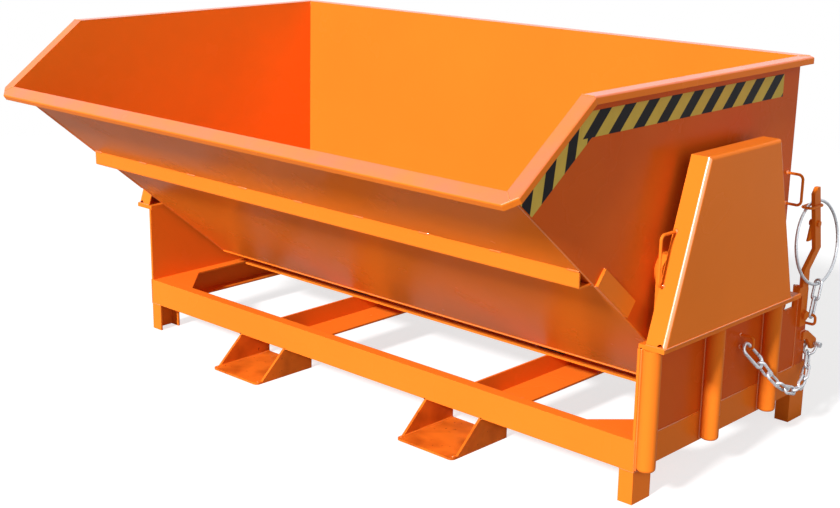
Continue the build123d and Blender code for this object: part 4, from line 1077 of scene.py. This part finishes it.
class HOPPER_OT_weld_rods(bpy.types.Operator):
    """Weld collars round the feet of the rod loops and staples"""

    bl_idname = "hopper.weld_rods"
    bl_label = "Weld rods"

    def execute(self, context):
        welds = context.scene.hopper_welds
        outward = Vector((1, 0, 0))
        forward = Vector((0, -1, 0))
        collars = {"hopper": [], "frame": []}
        for name, body in (("latch_loop", "hopper"), ("chain_eye", "frame"), ("post_eye", "frame")):
            low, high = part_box(name)
            rod = high.y - low.y
            foot = Vector((low.x, low.y + rod / 2, low.z + rod / 2))
            lower = rod_collar(foot, outward, rod, welds.collar)
            collars[body] += [lower, copy_moved(lower, Vector((0, 0, high.z - low.z - rod)))]
        low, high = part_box("guard_loop")
        guard_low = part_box("guard_right")[0]
        rod = high.x - low.x
        top_z = high.z - rod / 2
        low_z = low.z + rod / 2
        lean = (high.y - guard_low.y) / (top_z - guard_low.z)
        foot = Vector((low.x + rod / 2, guard_low.y + lean * (low_z - guard_low.z), low_z))
        lower = rod_collar(foot, forward, rod, welds.collar)
        rise = top_z - low_z
        collars["frame"] += [lower, copy_moved(lower, Vector((0, lean * rise, rise)))]
        for body, parts in collars.items():
            finish_weld(parts, f"weld_rods_{body}", body)
        return {"FINISHED"}


FLOOR_REACH = 9.0
FLOOR_SIDES = 96
FLOOR_CLEAR = 2.3
FLOOR_FADE = 4.6
FLOOR_DRIFT = 0.02
FLOOR_DRIFT_SIZE = 0.8
FLOOR_ROUGHNESS = 0.9
FLOOR_SPECULAR = 0.1
SENSOR_WIDTH = 36


def floor_material(stage):
    """Pale matt floor that fades into the white surround away from the hopper."""
    material, tree, shader = new_material("pale_floor")
    away = add_node(tree, "ShaderNodeVectorMath", {0: object_place(tree)}, operation="LENGTH")
    path = add_node(tree, "ShaderNodeLightPath")
    set_inputs(tree, shader, {
        "Base Color": drifting(tree, stage.floor, FLOOR_DRIFT_SIZE, FLOOR_DRIFT),
        "Roughness": FLOOR_ROUGHNESS,
        "Specular IOR Level": FLOOR_SPECULAR,
        "Alpha": map_range(tree, away.outputs["Value"], FLOOR_CLEAR, FLOOR_FADE, to_low=1.0, to_high=0.0),
        "Emission Color": mix_colour(tree, path.outputs["Is Camera Ray"], (0, 0, 0), (stage.floor_glow,) * 3),
        "Emission Strength": 1.0})
    return material


def surround(stage):
    """World that is white to the camera and to reflections, and dimmer as light."""
    world = bpy.data.worlds.new("studio")
    world.use_nodes = True
    tree = world.node_tree
    path = add_node(tree, "ShaderNodeLightPath").outputs
    seen = math_node(tree, "MAXIMUM", path["Is Camera Ray"], path["Is Glossy Ray"])
    seen = math_node(tree, "MAXIMUM", seen, path["Is Transmission Ray"])
    set_inputs(tree, tree.nodes["Background"], {
        "Color": (1, 1, 1, 1), "Strength": map_range(tree, seen, 0.0, 1.0, to_low=stage.ambient)})
    bpy.context.scene.world = world


class HOPPER_OT_set_stage(bpy.types.Operator):
    """Floor, surround, soft key light and the camera"""

    bl_idname = "hopper.set_stage"
    bl_label = "Set stage"

    def execute(self, context):
        stage = context.scene.hopper_stage
        start_clean()
        bpy.ops.mesh.primitive_circle_add(vertices=FLOOR_SIDES, radius=FLOOR_REACH, fill_type="NGON")
        floor = context.object
        floor.name = "floor"
        floor.data.materials.append(floor_material(stage))
        surround(stage)
        for name in ("key", "fill"):
            lamp = bpy.data.lights.new(name, "SUN")
            lamp.energy = getattr(stage, f"{name}_strength")
            lamp.angle = getattr(stage, f"{name}_softness")
            light = bpy.data.objects.new(name, lamp)
            tilt = radians(90) - getattr(stage, f"{name}_elevation")
            light.rotation_euler = (tilt, 0, getattr(stage, f"{name}_heading"))
            context.scene.collection.objects.link(light)
        data = bpy.data.cameras.new("camera")
        data.lens = stage.camera_lens
        data.sensor_width = SENSOR_WIDTH
        data.shift_x, data.shift_y = stage.camera_shift
        camera = bpy.data.objects.new("camera", data)
        tilt, roll, heading = stage.camera_turn
        camera.matrix_world = (Matrix.Translation(stage.camera_place) @ Matrix.Rotation(heading, 4, "Z")
                               @ Matrix.Rotation(tilt, 4, "X") @ Matrix.Rotation(roll, 4, "Z"))
        context.scene.collection.objects.link(camera)
        context.scene.camera = camera
        context.scene.view_settings.view_transform = "Standard"
        return {"FINISHED"}


class HOPPER_PT_finish(bpy.types.Panel):
    """Everything that finishes the hopper, in working order"""

    bl_label = "Tipping hopper"
    bl_idname = "HOPPER_PT_finish"
    bl_space_type = "VIEW_3D"
    bl_region_type = "UI"
    bl_category = "Hopper"

    def draw(self, context):
        for operator in OPERATORS:
            self.layout.operator(operator.bl_idname)
        for name in GROUPS_OF_VALUES:
            values = getattr(context.scene, name)
            box = self.layout.box()
            for key in values.bl_rna.properties.keys():
                if key not in ("rna_type", "name"):
                    box.prop(values, key)


OPERATORS = (HOPPER_OT_coat_steel, HOPPER_OT_finish_fittings, HOPPER_OT_lay_tape, HOPPER_OT_weld_hopper,
             HOPPER_OT_weld_base, HOPPER_OT_weld_rods, HOPPER_OT_set_stage)
GROUPS_OF_VALUES = {"hopper_paint": HopperPaint, "hopper_tape": HopperTape, "hopper_welds": HopperWelds,
                    "hopper_stage": HopperStage}


def register():
    """Adds the classes and the scene's values."""
    for name, group in GROUPS_OF_VALUES.items():
        bpy.utils.register_class(group)
        setattr(bpy.types.Scene, name, bpy.props.PointerProperty(type=group))
    for operator in OPERATORS:
        bpy.utils.register_class(operator)
    bpy.utils.register_class(HOPPER_PT_finish)


def unregister():
    """Takes them away again."""
    bpy.utils.unregister_class(HOPPER_PT_finish)
    for operator in reversed(OPERATORS):
        bpy.utils.unregister_class(operator)
    for name, group in GROUPS_OF_VALUES.items():
        delattr(bpy.types.Scene, name)
        bpy.utils.unregister_class(group)


def main():
    """Finishes the hopper."""
    register()
    bpy.ops.hopper.coat_steel()
    bpy.ops.hopper.finish_fittings()
    bpy.ops.hopper.lay_tape()
    bpy.ops.hopper.weld_hopper()
    bpy.ops.hopper.weld_base()
    bpy.ops.hopper.weld_rods()
    bpy.ops.hopper.set_stage()


if __name__ == "__main__":
    main()
